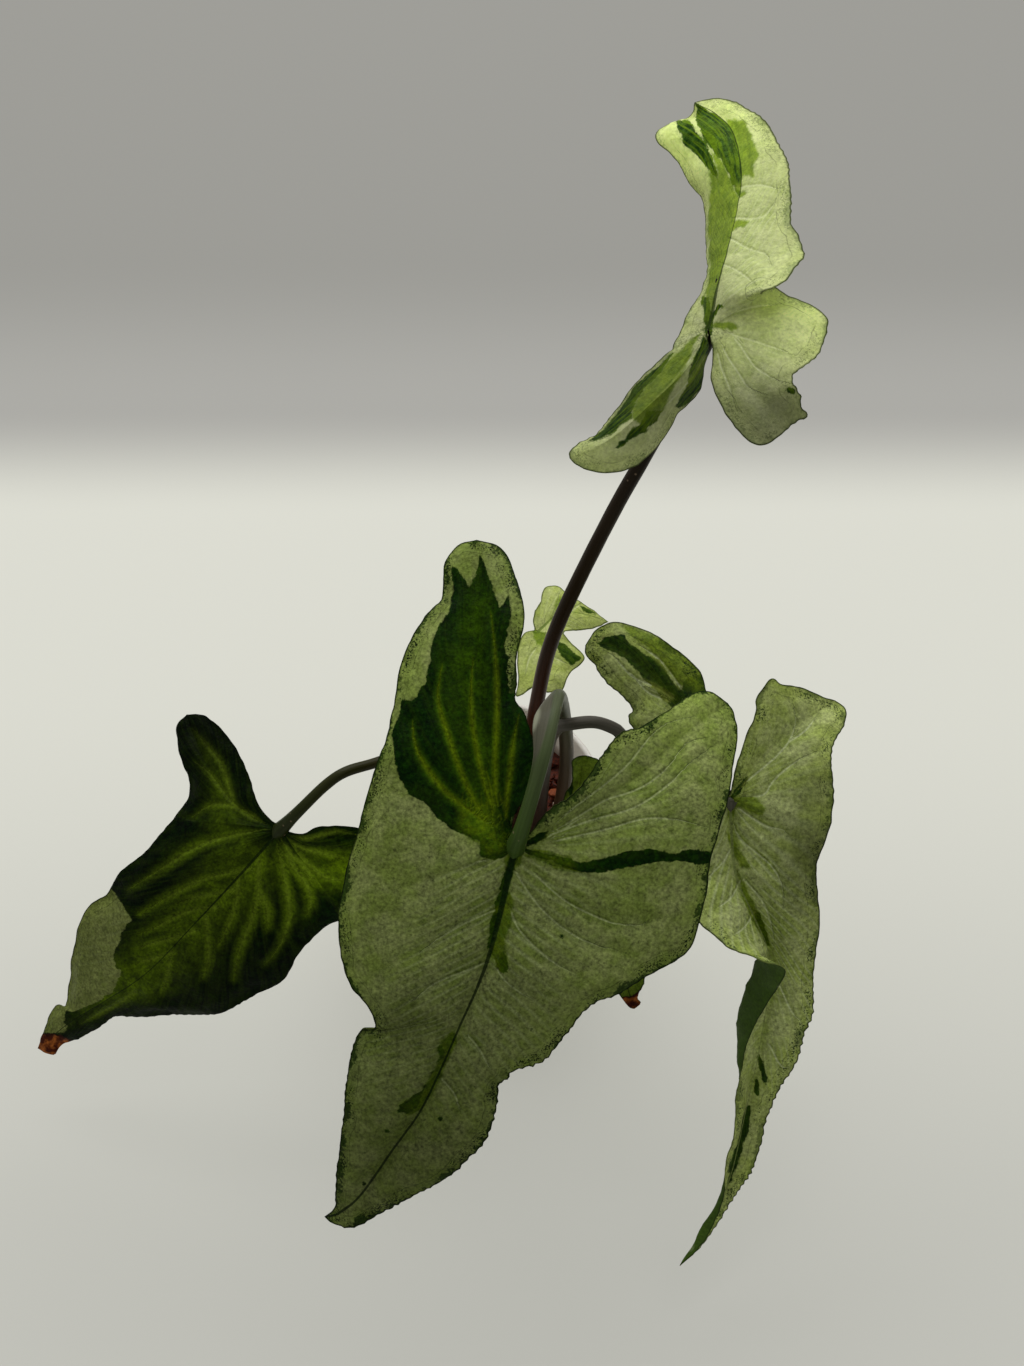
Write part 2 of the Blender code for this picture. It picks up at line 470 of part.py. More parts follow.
def make_mix(collection, cutters, shared):
    """The potting mix: it fills the pot, chunks of bark stand out of its top, and stalks stand in holes."""
    low = POT_FLOOR + GAP
    side = POT_WALL + GAP + 0.1
    height = MIX_TOP - low
    bm = bmesh.new()
    bmesh.ops.create_cone(bm, cap_ends=True, segments=MIX_SEGMENTS, radius1=(wall_radius(low) - side) * MM,
                          radius2=(wall_radius(MIX_TOP) - side) * MM, depth=height * MM)
    for v in bm.verts:
        v.co.z += (low + height / 2) * MM
    mesh = bpy.data.meshes.new("potting_mix")
    bm.to_mesh(mesh)
    bm.free()
    mix = add_object("potting_mix", mesh, collection, "potting_mix")
    draw = random.Random(CHUNK_SEED)
    reach = wall_radius(MIX_TOP) - side
    for i in range(CHUNK_COUNT):
        size = (draw.uniform(*CHUNK_LENGTH), draw.uniform(*CHUNK_WIDTH), draw.uniform(*CHUNK_THICKNESS))
        radius = math.sqrt((i + 0.5) / CHUNK_COUNT) * (reach - CHUNK_LENGTH[1] - GAP)
        angle = i * math.pi * (3 - math.sqrt(5)) + draw.uniform(-0.2, 0.2)
        at = Vector((radius * math.cos(angle), radius * math.sin(angle), MIX_TOP + draw.uniform(-0.2, 0.7)))
        tilt = (draw.uniform(-CHUNK_TILT, CHUNK_TILT), draw.uniform(-CHUNK_TILT, CHUNK_TILT))
        turn = (*tilt, draw.uniform(0, math.tau))
        make_chunk(f"chunk_{i}", at, size, turn, shared)
    boolean(mix, "UNION", shared)
    apply_modifiers(mix)
    for chunk in list(shared.objects):
        bpy.data.objects.remove(chunk)
    bpy.data.collections.remove(shared)
    for name, (foot, _, route) in STALKS.items():
        x, y, bottom = route[0]
        radius = (foot + HOLE_PLAY) * MM
        bm = bmesh.new()
        bmesh.ops.create_cone(bm, cap_ends=True, segments=HOLE_SIDES, radius1=radius, radius2=radius,
                              depth=HOLE_CUTTER * MM)
        hole = bpy.data.meshes.new(name + "_hole")
        bm.to_mesh(hole)
        bm.free()
        cutter = as_cutter(add_object(name + "_hole", hole, cutters, None))
        cutter.location = (x * MM, y * MM, (bottom - GAP + HOLE_CUTTER / 2) * MM)
        boolean(mix, "DIFFERENCE", cutter)
    return mix


def main():
    clear_scene()
    plant = bpy.data.collections.new("arrowhead_plant")
    cutters = bpy.data.collections.new("cutters")
    shared = bpy.data.collections.new("chunks")
    for collection in (plant, cutters, shared):
        bpy.context.scene.collection.children.link(collection)
    make_pot(plant, cutters)
    make_mix(plant, cutters, shared)
    for name, (foot, top, route) in STALKS.items():
        make_stalk(name, foot, top, route, plant)
    for name, spec in BLADES.items():
        make_blade(name, spec, plant)


main()
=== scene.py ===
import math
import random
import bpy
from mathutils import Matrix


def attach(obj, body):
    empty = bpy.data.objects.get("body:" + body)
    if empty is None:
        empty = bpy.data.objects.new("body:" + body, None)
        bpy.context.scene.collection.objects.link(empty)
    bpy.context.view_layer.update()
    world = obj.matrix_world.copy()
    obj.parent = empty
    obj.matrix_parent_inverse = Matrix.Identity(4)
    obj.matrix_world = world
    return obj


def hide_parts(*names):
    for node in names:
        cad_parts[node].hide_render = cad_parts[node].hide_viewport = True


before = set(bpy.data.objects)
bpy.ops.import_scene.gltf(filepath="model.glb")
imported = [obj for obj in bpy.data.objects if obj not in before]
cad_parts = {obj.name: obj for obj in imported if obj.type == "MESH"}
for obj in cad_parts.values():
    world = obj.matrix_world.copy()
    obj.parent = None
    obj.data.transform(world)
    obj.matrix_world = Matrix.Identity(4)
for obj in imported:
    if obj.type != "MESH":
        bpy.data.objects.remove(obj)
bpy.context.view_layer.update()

# Looks for the variegated arrowhead plant. Lengths are in millimetres and become metres in the meshes.
# A blade is laid out as part.py lays it out: x right and y up from its junction as seen from the standpoint,
# z towards the standpoint. The grids here are finer, with teeth, veins, relief and markings.

from types import SimpleNamespace

import bmesh
import bpy
import numpy as np
from mathutils import Matrix, Vector, noise

MM = 0.001

SIGHT_PITCH = math.radians(54.0)
EYE = Vector((8.45, -352.8, 613.3))
SIGHT = Vector((0.0, math.cos(SIGHT_PITCH), -math.sin(SIGHT_PITCH)))
RIGHT = Vector((1.0, 0.0, 0.0))
UP = Vector((0.0, math.sin(SIGHT_PITCH), math.cos(SIGHT_PITCH)))
SENSOR = 36.0
LENS = 52.71

POT_HEIGHT = 66.0
POT_BASE_RADIUS = 25.5
POT_TOP_RADIUS = 37.1
POT_WALL = 1.0
POT_FLOOR = 1.4
LIP_RADIUS = 38.2
LIP_HEIGHT = 3.0
POT_TURNS = 144
FLOOR_ROUND = 1.5
FOOT_RAISE = 0.5
DRAIN_RADIUS = 3.0
DRAIN_RING = 15.0
DRAIN_COUNT = 4
MIX_TOP = 56.0

SKIN = 0.38
SKIN_AT_MARGIN = 0.22
QUILT_DEPTH = 0.9
PLEAT_DEPTH = 0.12
SWELL_DEPTH = 1.0
DIMPLE_DEPTH = 0.3
GRAIN_DEPTH = 0.1
MARGIN_WAVE_DEPTH = 1.0
MIDRIB_TROUGH = 0.55
VEIN_TROUGH = 0.2
RIB_HEIGHT = 1.5
SIDE_RIB_HEIGHT = 0.3
TOOTH_PITCH = 2.6
COLUMNS = 40
MAIN_ROWS = 150
LOBE_ROWS = 100

# Stalk routes from inside the potting mix to the blade, with the radius at the foot and at the blade.
STALKS = {
    "stalk_tall": (
        2.35, 2.0,
        [(15, 0.5, 43), (15, 0.5, 57), (15.6, 0.3, 84), (15, 0, 103), (16.1, -3, 123), (18.5, -1.5, 142),
            (22.2, 1, 157), (28.7, 6, 174), (37.4, 11.5, 195.5), (44, 15, 210.5), (54.5, 23, 232),
            (59.3, 27.4, 242.3)],
    ),
    "stalk_front": (
        2.3, 1.9,
        [(21, -12, 43), (21, -12, 57), (23.7, -11, 74), (25.2, -10.5, 96.5), (24.7, -11, 116.5),
            (23, -17, 140), (21.2, -32, 165.5), (19.6, -43, 173.5), (17.2, -54, 171.5), (15, -59.5, 165),
            (12.4, -64.3, 156.2), (10.6, -67.6, 150.8)],
    ),
    "stalk_left": (
        1.8, 1.5,
        [(10, -5, 43), (10, -5, 57), (10.5, -6, 85), (10, -8, 103), (4.8, -11, 112.5), (-4, -14.5, 118),
            (-16, -18.5, 122), (-31, -27, 125.4), (-40, -31.2, 126.6), (-46, -34.1, 123.8),
            (-53.5, -39.3, 118.7)],
    ),
    "stalk_right": (
        2.1, 1.7,
        [(17, -9, 43), (17, -9, 57), (18, -12, 90), (19.3, -15.5, 116), (21.5, -19, 131), (25.5, -21.5, 137),
            (32.5, -21.5, 138), (38.5, -21.5, 134.5), (41.4, -22.4, 131.3), (51.8, -27.6, 125),
            (63.4, -34.4, 122), (72, -37.7, 122.3)],
    ),
    "stalk_young": (
        1.3, 1.0,
        [(15.5, 7, 43), (15.5, 7, 57), (15.5, 10, 80), (16, 17, 103), (16.5, 26.8, 118.1)],
    ),
    "stalk_low": (
        1.4, 1.1,
        [(28, -12, 43), (28, -12, 57), (28.5, -14, 75), (29.5, -19, 90), (30.6, -25.4, 99.7)],
    ),
}

# Each blade: its junction in space, how far it sags with distance, how far its halves puff up between vein
# and margin, and its veins and margins. A margin runs from the waist or the sinus to its lobe's tip.
BLADES = {
    "leaf_tall": dict(
        junction=(59.4, 27.3, 246.6), sag=0.0, puff=0.05,
        midrib=[(0, 0, 0), (1, 4.5, -1), (2.5, 13, -4), (4.5, 20, -8), (7, 30, -15), (8.5, 40.5, -24),
            (6.5, 51, -34), (2, 56, -40), (-3.5, 59, -46)],
        main_left=[(-9, -5.5, -2), (-8.5, -3.5, -3), (-6, 2.5, -5), (-2.5, 8.5, -8), (-0.5, 13.5, -16),
            (-0.5, 19, -28), (-0.5, 26, -38), (-1.5, 33, -44), (-3.5, 36, -46), (-5, 38.5, -47),
            (-7, 42.5, -49), (-10, 46, -51), (-13, 49, -53), (-12.5, 51, -54), (-8, 53.5, -53),
            (-5, 55, -50), (-3.5, 59, -46)],
        main_right=[(15.5, 10.5, -3), (14, 9.5, 6), (19, 12, 7), (23, 16.5, 4), (25, 19, 1),
            (23.5, 24.5, -4), (21.5, 28, -6), (21.5, 36.5, -11), (20.5, 44, -18), (18, 49, -23),
            (15.5, 53.5, -28), (12, 56.5, -33), (8, 59, -38), (3, 60.5, -42), (-0.5, 60, -45),
            (-3.5, 59, -46)],
        left_vein=[(0, 0, 0), (-4.5, -9, 3), (-15, -19.5, 5), (-25.5, -28.5, 4), (-36, -33.5, 0)],
        left_inner=[(-0.2, -1.8, 0), (0, -4.5, -2), (-0.5, -9, -4), (-1.5, -15, -5), (-4, -19, -5),
            (-7.5, -22.5, -4), (-11, -27.5, -4), (-15, -32.5, -3), (-20, -35.5, -2), (-24, -37, -1),
            (-29.5, -37, 0), (-34, -35.5, 0), (-36, -33.5, 0)],
        left_outer=[(-9, -5.5, -2), (-14, -9, -3), (-19, -14, -4), (-24, -20, -4), (-28.5, -26.5, -3),
            (-33.5, -29, -1), (-36, -31.5, 0), (-36, -33.5, 0)],
        right_vein=[(0, 0, 0), (5.5, -6.5, 3), (12, -14.5, 6), (19, -27.5, 8)],
        right_inner=[(0.9, -2.2, 0), (1, -4.5, 1), (1, -9, 1), (1, -13.5, 2), (2.5, -18, 4), (4.5, -22, 6),
            (8, -26.5, 8), (11.5, -29.5, 10), (15, -30, 10), (19, -27.5, 8)],
        right_outer=[(15.5, 10.5, -3), (17.5, 11, -5), (21, 8.5, -5), (26, 6.5, -4), (29.5, 3.5, -3),
            (31, 0.5, -2), (29, -6, 2), (25, -9.5, 5), (22, -12, 6), (22, -14.5, 7), (24, -17, 6),
            (24, -20, 4), (25.5, -22.5, 2), (23, -24, 4), (19, -27.5, 8)],
    ),
    "leaf_front": dict(
        junction=(9.3, -68.8, 145.9), sag=0.0011, puff=0.06,
        midrib=[(0, 0, 0), (-5.5, -23.5, 1), (-9.5, -36, 1), (-15.5, -49.5, 1), (-21, -62, 0),
            (-26, -72, -1), (-33.5, -82.5, -2), (-42, -94.5, -5), (-48, -99.5, -8), (-52, -100.5, -12)],
        main_left=[(-48, -16.5, 0), (-48, -25, 0), (-47, -32, 0), (-45, -37.5, 1), (-41.5, -42, 2),
            (-38.5, -47, 2), (-38.5, -49.5, 1), (-42.5, -50.5, -1), (-44.5, -56, -1), (-46, -62, 0),
            (-47, -73, 0), (-48.5, -87, -3), (-49, -93, -5), (-49.5, -98, -8), (-52, -100.5, -12)],
        main_right=[(50.5, -18.5, 0), (47.5, -27.5, -1), (41, -32.5, 0), (34.5, -36, 2), (27.5, -40.5, 3),
            (20, -43.5, 2), (14, -50.5, 0), (9, -57, 0), (4.5, -59.5, 1), (-0.5, -61, 2), (-2, -63, 1),
            (-4.5, -64.5, -1), (-5.5, -72, -1), (-8, -79.5, -1), (-13.5, -85.5, -2), (-21, -91.5, -3),
            (-31.5, -96.5, -4), (-38.5, -101, -6), (-45, -103.5, -7), (-49.5, -102.5, -9),
            (-52, -100.5, -12)],
        left_vein=[(0, 0, 0), (-4, 16, 1), (-8.5, 35, 1), (-11, 56.5, 0), (-10.5, 84, -3)],
        left_inner=[(-0.6, 3.6, 0), (-0.8, 8, 2), (1.5, 11, 3), (4, 17.5, 4), (5.5, 25.5, 4), (4.5, 31, 3),
            (2.5, 37, 2), (0, 40.5, 2), (0.5, 46, 2), (0.5, 52.5, 3), (2.5, 61, 3), (2.5, 66, 2),
            (0.5, 72.5, 0), (-2, 79, -2), (-5.5, 82.5, -3), (-10.5, 84, -3)],
        left_outer=[(-48, -16.5, 0), (-46.5, -8.5, 0), (-43, 4.5, 2), (-40, 16, 3), (-37.5, 23.5, 4),
            (-34.5, 33, 3), (-31.5, 49, 1), (-28, 57.5, 0), (-23.5, 65, -1), (-20.5, 68, -2),
            (-20, 72.5, -3), (-19, 78, -4), (-15.5, 82.5, -4), (-10.5, 84, -3)],
        right_vein=[(0, 0, 0), (17.5, 9, 1), (34, 20, 1), (47.5, 32, 0), (58, 39.5, -3)],
        right_inner=[(2.4, 2.6, 0), (4.6, 4.8, 1), (7, 8, 2), (10.5, 11.5, 3), (14.5, 13.5, 3),
            (19, 18.5, 3), (21.5, 22, 3), (24.5, 26.5, 3), (28.5, 31, 2), (34, 33, 1), (41, 37, 0),
            (47, 41.5, -1), (52.5, 43, -2), (58, 39.5, -3)],
        right_outer=[(50.5, -18.5, 0), (52, -13, 0), (53, -5.5, 1), (55.5, 3.5, 2), (58.5, 15, 2),
            (59.5, 22, 1), (61, 31, -1), (60, 36, -2), (58, 39.5, -3)],
    ),
    "leaf_left": dict(
        junction=(-60.0, -41.0, 110.5), sag=0.0, puff=0.06,
        midrib=[(0, 0, 0), (-12, -13.5, -5), (-25, -27.5, -12), (-39, -42, -22), (-51.5, -50.5, -32),
            (-61.5, -56.5, -41), (-71.5, -64.5, -52)],
        main_left=[(-31.5, 3, -14), (-39, -5.5, -16), (-46.5, -12, -21), (-51, -18.5, -26),
            (-56.5, -22.5, -30), (-59.5, -29.5, -34), (-62, -38.5, -38), (-63, -46, -42), (-63, -52, -45),
            (-66.4, -52.1, -47), (-69.6, -59.8, -50), (-71.5, -64.5, -52)],
        main_right=[(19, -26, -8), (13.5, -28.5, -9), (9.5, -32.5, -11), (5, -37, -14), (1, -44, -18),
            (-7.5, -49, -22), (-16.5, -53.5, -26), (-22, -54.5, -29), (-30, -54.5, -32), (-39, -55, -35),
            (-48, -54.5, -38), (-55, -59, -43), (-60.5, -62, -47), (-64.5, -64, -49), (-67, -66.5, -50),
            (-71.5, -64.5, -52)],
        left_vein=[(0, 0, 0), (-5.5, 2.8, -2), (-12.5, 7, -4.5), (-18, 13, -7), (-22.5, 21, -10),
            (-25.5, 28, -13.5), (-27.5, 34, -16)],
        left_inner=[(-1, 1.8, 0), (-2.8, 2.8, -0.5), (-5.2, 5.5, -2), (-6.9, 9, -3), (-10.5, 19.5, -5),
            (-16.5, 29, -9), (-22, 33.5, -13), (-27.5, 34, -16)],
        left_outer=[(-31.5, 3, -14), (-27.5, 9.5, -13), (-27, 15, -12), (-28.5, 20, -13), (-30, 26.5, -15),
            (-30.5, 31, -16), (-27.5, 34, -16)],
        right_vein=[(0, 0, 0), (12, -6, 0), (25, -11, -3), (36, -12.5, -7)],
        right_inner=[(2.5, -0.5, 0), (7, -1, 2), (11, 0.5, 3), (17.5, 1, 2), (22.5, 0.5, 1),
            (29.5, -2.5, -1), (34.5, -7, -4), (36, -12.5, -7)],
        right_outer=[(19, -26, -8), (25, -24, -8), (31, -21, -8), (35, -17, -8), (36, -12.5, -7)],
    ),
    "leaf_right": dict(
        junction=(71.7, -39.0, 124.3), sag=0.0, puff=0.05,
        midrib=[(0, 0, 0), (1.5, -21, -2), (6, -32, -3), (10.5, -42, -6), (12.5, -51, -11), (10.5, -61, -17),
            (8, -75.5, -23), (5, -89, -26), (0.5, -108.5, -28), (-5, -122.5, -29), (-14.5, -135.5, -30)],
        main_left=[(-15.5, -4.5, 2), (-17, -15, 3), (-14.5, -26.5, 5), (-9, -36, 8), (-4.5, -40, 10),
            (1.5, -44.5, 13), (8, -47, 15), (14, -48.5, 16), (16, -50, 15), (15, -53, 11), (11.5, -58.5, 4),
            (7, -66, -4), (4.5, -72.5, -10), (3, -79, -15), (1.5, -87, -19), (1, -94, -22), (0, -101.5, -23),
            (-1, -111.5, -22), (-3.5, -121, -24), (-8.5, -129.5, -28), (-14.5, -135.5, -30)],
        main_right=[(29.5, -7, 5), (27.5, -13, 2), (25, -19.5, 0), (25.5, -27, 0), (26, -35, -2),
            (25.5, -42.5, -4), (24, -51.5, -9), (24, -60.5, -14), (21.5, -68, -17), (19.5, -75.5, -20),
            (14, -84.5, -24), (10.5, -93.5, -26), (9.5, -98.5, -27), (6.5, -107.5, -28), (1.5, -115, -29),
            (-4, -124, -30), (-9.5, -131, -30), (-14.5, -135.5, -30)],
        left_vein=[(0, 0, 0), (-8.5, 17, 1), (-20.5, 33, 1), (-32, 43, -1), (-42, 44.5, -4)],
        left_inner=[(-0.2, 2.4, 0), (-3, 15.5, 2), (-6.5, 30, 3), (-8, 36, 2), (-11, 39.5, 1),
            (-17, 44.5, 0), (-23, 48.5, -1), (-28, 50.5, -2), (-33.5, 51.5, -3), (-38.5, 49.5, -4),
            (-40.5, 47, -4), (-42, 44.5, -4)],
        left_outer=[(-15.5, -4.5, 2), (-18, 2.5, 1), (-23, 13, 1), (-28.5, 21, 1), (-29.5, 24, 0),
            (-28.5, 26, 0), (-31.5, 30, -1), (-35, 33, -2), (-37.5, 36, -3), (-39.5, 39, -4), (-42, 42, -4),
            (-42, 44.5, -4)],
        right_vein=[(0, 0, 0), (6.5, 9, 1), (17, 19, 0), (30.5, 28.5, -4)],
        right_inner=[(0.2, 2, 0), (1.5, 8.5, 1), (4.5, 18, 3), (6.5, 22.5, 4), (7.6, 25.5, 4),
            (7.8, 28.5, 4), (9.5, 32, 3), (12, 34.8, 2), (15, 33, 0), (20, 32.5, -2), (26, 30, -3),
            (30.5, 28.5, -4)],
        right_outer=[(29.5, -7, 5), (30, 0, 6), (30, 5, 6), (29.5, 10, 6), (30, 15.5, 4), (33, 21.5, 0),
            (33.5, 26, -3), (30.5, 28.5, -4)],
        # The lower left half is rolled over: its middle bows to the left of both its edges.
        bows={"main_left": [(0.31, 0, 0, 0), (0.37, -7.5, 3, -3), (0.42, -9, 2, -3), (0.50, -8, 0, -2),
            (0.60, -3, 0, 0), (0.66, 0, 0, 0), (0.80, 0, 0, 0), (0.90, -3, 0, 0), (1.0, 0, 0, 0)]},
    ),
    "leaf_young": dict(
        junction=(16.5, 25.8, 119.4), sag=0.0, puff=0.05,
        midrib=[(0, 0, 0), (7, 6, -2), (14.5, 5.5, -5), (22, 3, -9)],
        main_left=[(1, 9.5, -4), (2, 13.5, -6), (6, 14, -7), (8.5, 12.5, -7), (13, 9.5, -7), (17, 6.5, -8),
            (22, 3, -9)],
        main_right=[(8, -0.5, 1), (9, 0.5, 0), (13, 0.5, -3), (17.5, 1, -6), (22, 3, -9)],
        left_vein=[(0, 0, 0), (-0.5, 3, -1), (-1, 6.5, -2)],
        left_inner=[(-1, 1, 0), (-1.5, 3.5, -1), (-1, 6.5, -2)],
        left_outer=[(1, 9.5, -4), (0, 8.5, -3), (-1, 6.5, -2)],
        right_vein=[(0, 0, 0), (0.5, -6, 3), (2, -12.5, 6), (3, -19, 8)],
        right_inner=[(-1, 0.5, 0), (-4.5, -0.5, 0), (-6, -4.5, 1), (-6.5, -9.5, 3), (-6, -14.5, 5),
            (-7, -20, 6), (-4.5, -19.5, 7), (-2, -17.5, 8), (3, -19, 8)],
        right_outer=[(8, -0.5, 1), (11, -4, 1), (14.5, -8.5, 1), (10.5, -12.5, 3), (9, -15, 5),
            (7.5, -18.5, 6), (3, -19, 8)],
    ),
    "leaf_low": dict(
        junction=(30.6, -25.8, 100.4), sag=0.0008, puff=0.05,
        midrib=[(0, 0, 0), (4, -19.5, 3), (8, -39.5, 5), (15, -62, 4)],
        main_left=[(-7, -7.5, -1), (-8, -13.5, -1), (-6.5, -24.5, 0), (-1.5, -38, 2), (4.5, -50, 4),
            (10.5, -58, 5), (13.5, -61.5, 5), (15, -62, 4)],
        main_right=[(14.5, -7.5, -2), (17.5, -16.5, -2), (19, -29, 0), (19.5, -41, 2), (18, -53.5, 4),
            (16.5, -57, 5), (16, -59, 5), (17, -60.5, 4), (15, -62, 4)],
        left_vein=[(0, 0, 0), (-1, 6, 0), (0, 15, -1)],
        left_inner=[(0.6, 2, 0), (3, 7, 2.5), (4.5, 11.5, 2), (3.8, 14, 1), (0, 15, -1)],
        left_outer=[(-7, -7.5, -1), (-7, -1.5, 0), (-6, 3.5, 1), (-4, 6.5, 2), (-4, 10.5, 1), (-4, 13.5, 0),
            (-2.5, 14.7, -0.5), (0, 15, -1)],
        right_vein=[(0, 0, 0), (3, 6, 0), (6, 13.5, -1)],
        right_inner=[(0.4, 2.2, 0), (1, 7.5, 1), (2.5, 13, 0), (6, 13.5, -1)],
        right_outer=[(14.5, -7.5, -2), (13, 0, -1), (10.5, 7.5, -1), (8.5, 12, -1), (6, 13.5, -1)],
    ),
}

# Fine pleats along each blade's main half and its lobes as (number, how far they sweep to the tip), and how
# deep the relief is.
PLEATS = {
    "leaf_tall": dict(main=(26, 0.4), lobe=(14, 0.6), relief=0.8),
    "leaf_front": dict(main=(42, 0.08), lobe=(14, 0.6), relief=1.0),
    "leaf_left": dict(main=(26, 0.25), lobe=(10, 0.5), relief=1.0),
    "leaf_right": dict(main=(38, 0.15), lobe=(14, 0.6), relief=1.0),
    "leaf_young": dict(main=(10, 0.3), lobe=(8, 0.5), relief=0.5),
    "leaf_low": dict(main=(18, 0.2), lobe=(6, 0.5), relief=0.6),
}

# Stretches of margin with small teeth: (start, end, height) along the margin.
TEETH = {
    "leaf_tall": dict(left_outer=(0.5, 1.0, 0.3), right_outer=(0.3, 1.0, 0.4), main_right=(0.1, 0.9, 0.3)),
    "leaf_front": dict(main_right=(0.15, 0.98, 0.75), main_left=(0.4, 0.95, 0.25),
                       left_inner=(0.2, 0.6, 0.3), right_inner=(0.1, 0.6, 0.35)),
    "leaf_left": dict(main_right=(0.3, 0.9, 0.25)),
    "leaf_right": dict(main_right=(0.3, 0.98, 0.75), left_outer=(0.3, 0.9, 0.3),
                       right_outer=(0.1, 0.8, 0.25)),
    "leaf_young": dict(),
    "leaf_low": dict(main_right=(0.4, 0.95, 0.3)),
}

MAIN = ("main_left", "main_right")
LEFT_LOBE = ("left_inner", "left_outer")
RIGHT_LOBE = ("right_inner", "right_outer")
LEFT_MAIN = ("main_left",)
RIGHT_MAIN = ("main_right",)
LEFT = LEFT_MAIN + LEFT_LOBE
EVERY = MAIN + LEFT_LOBE + RIGHT_LOBE

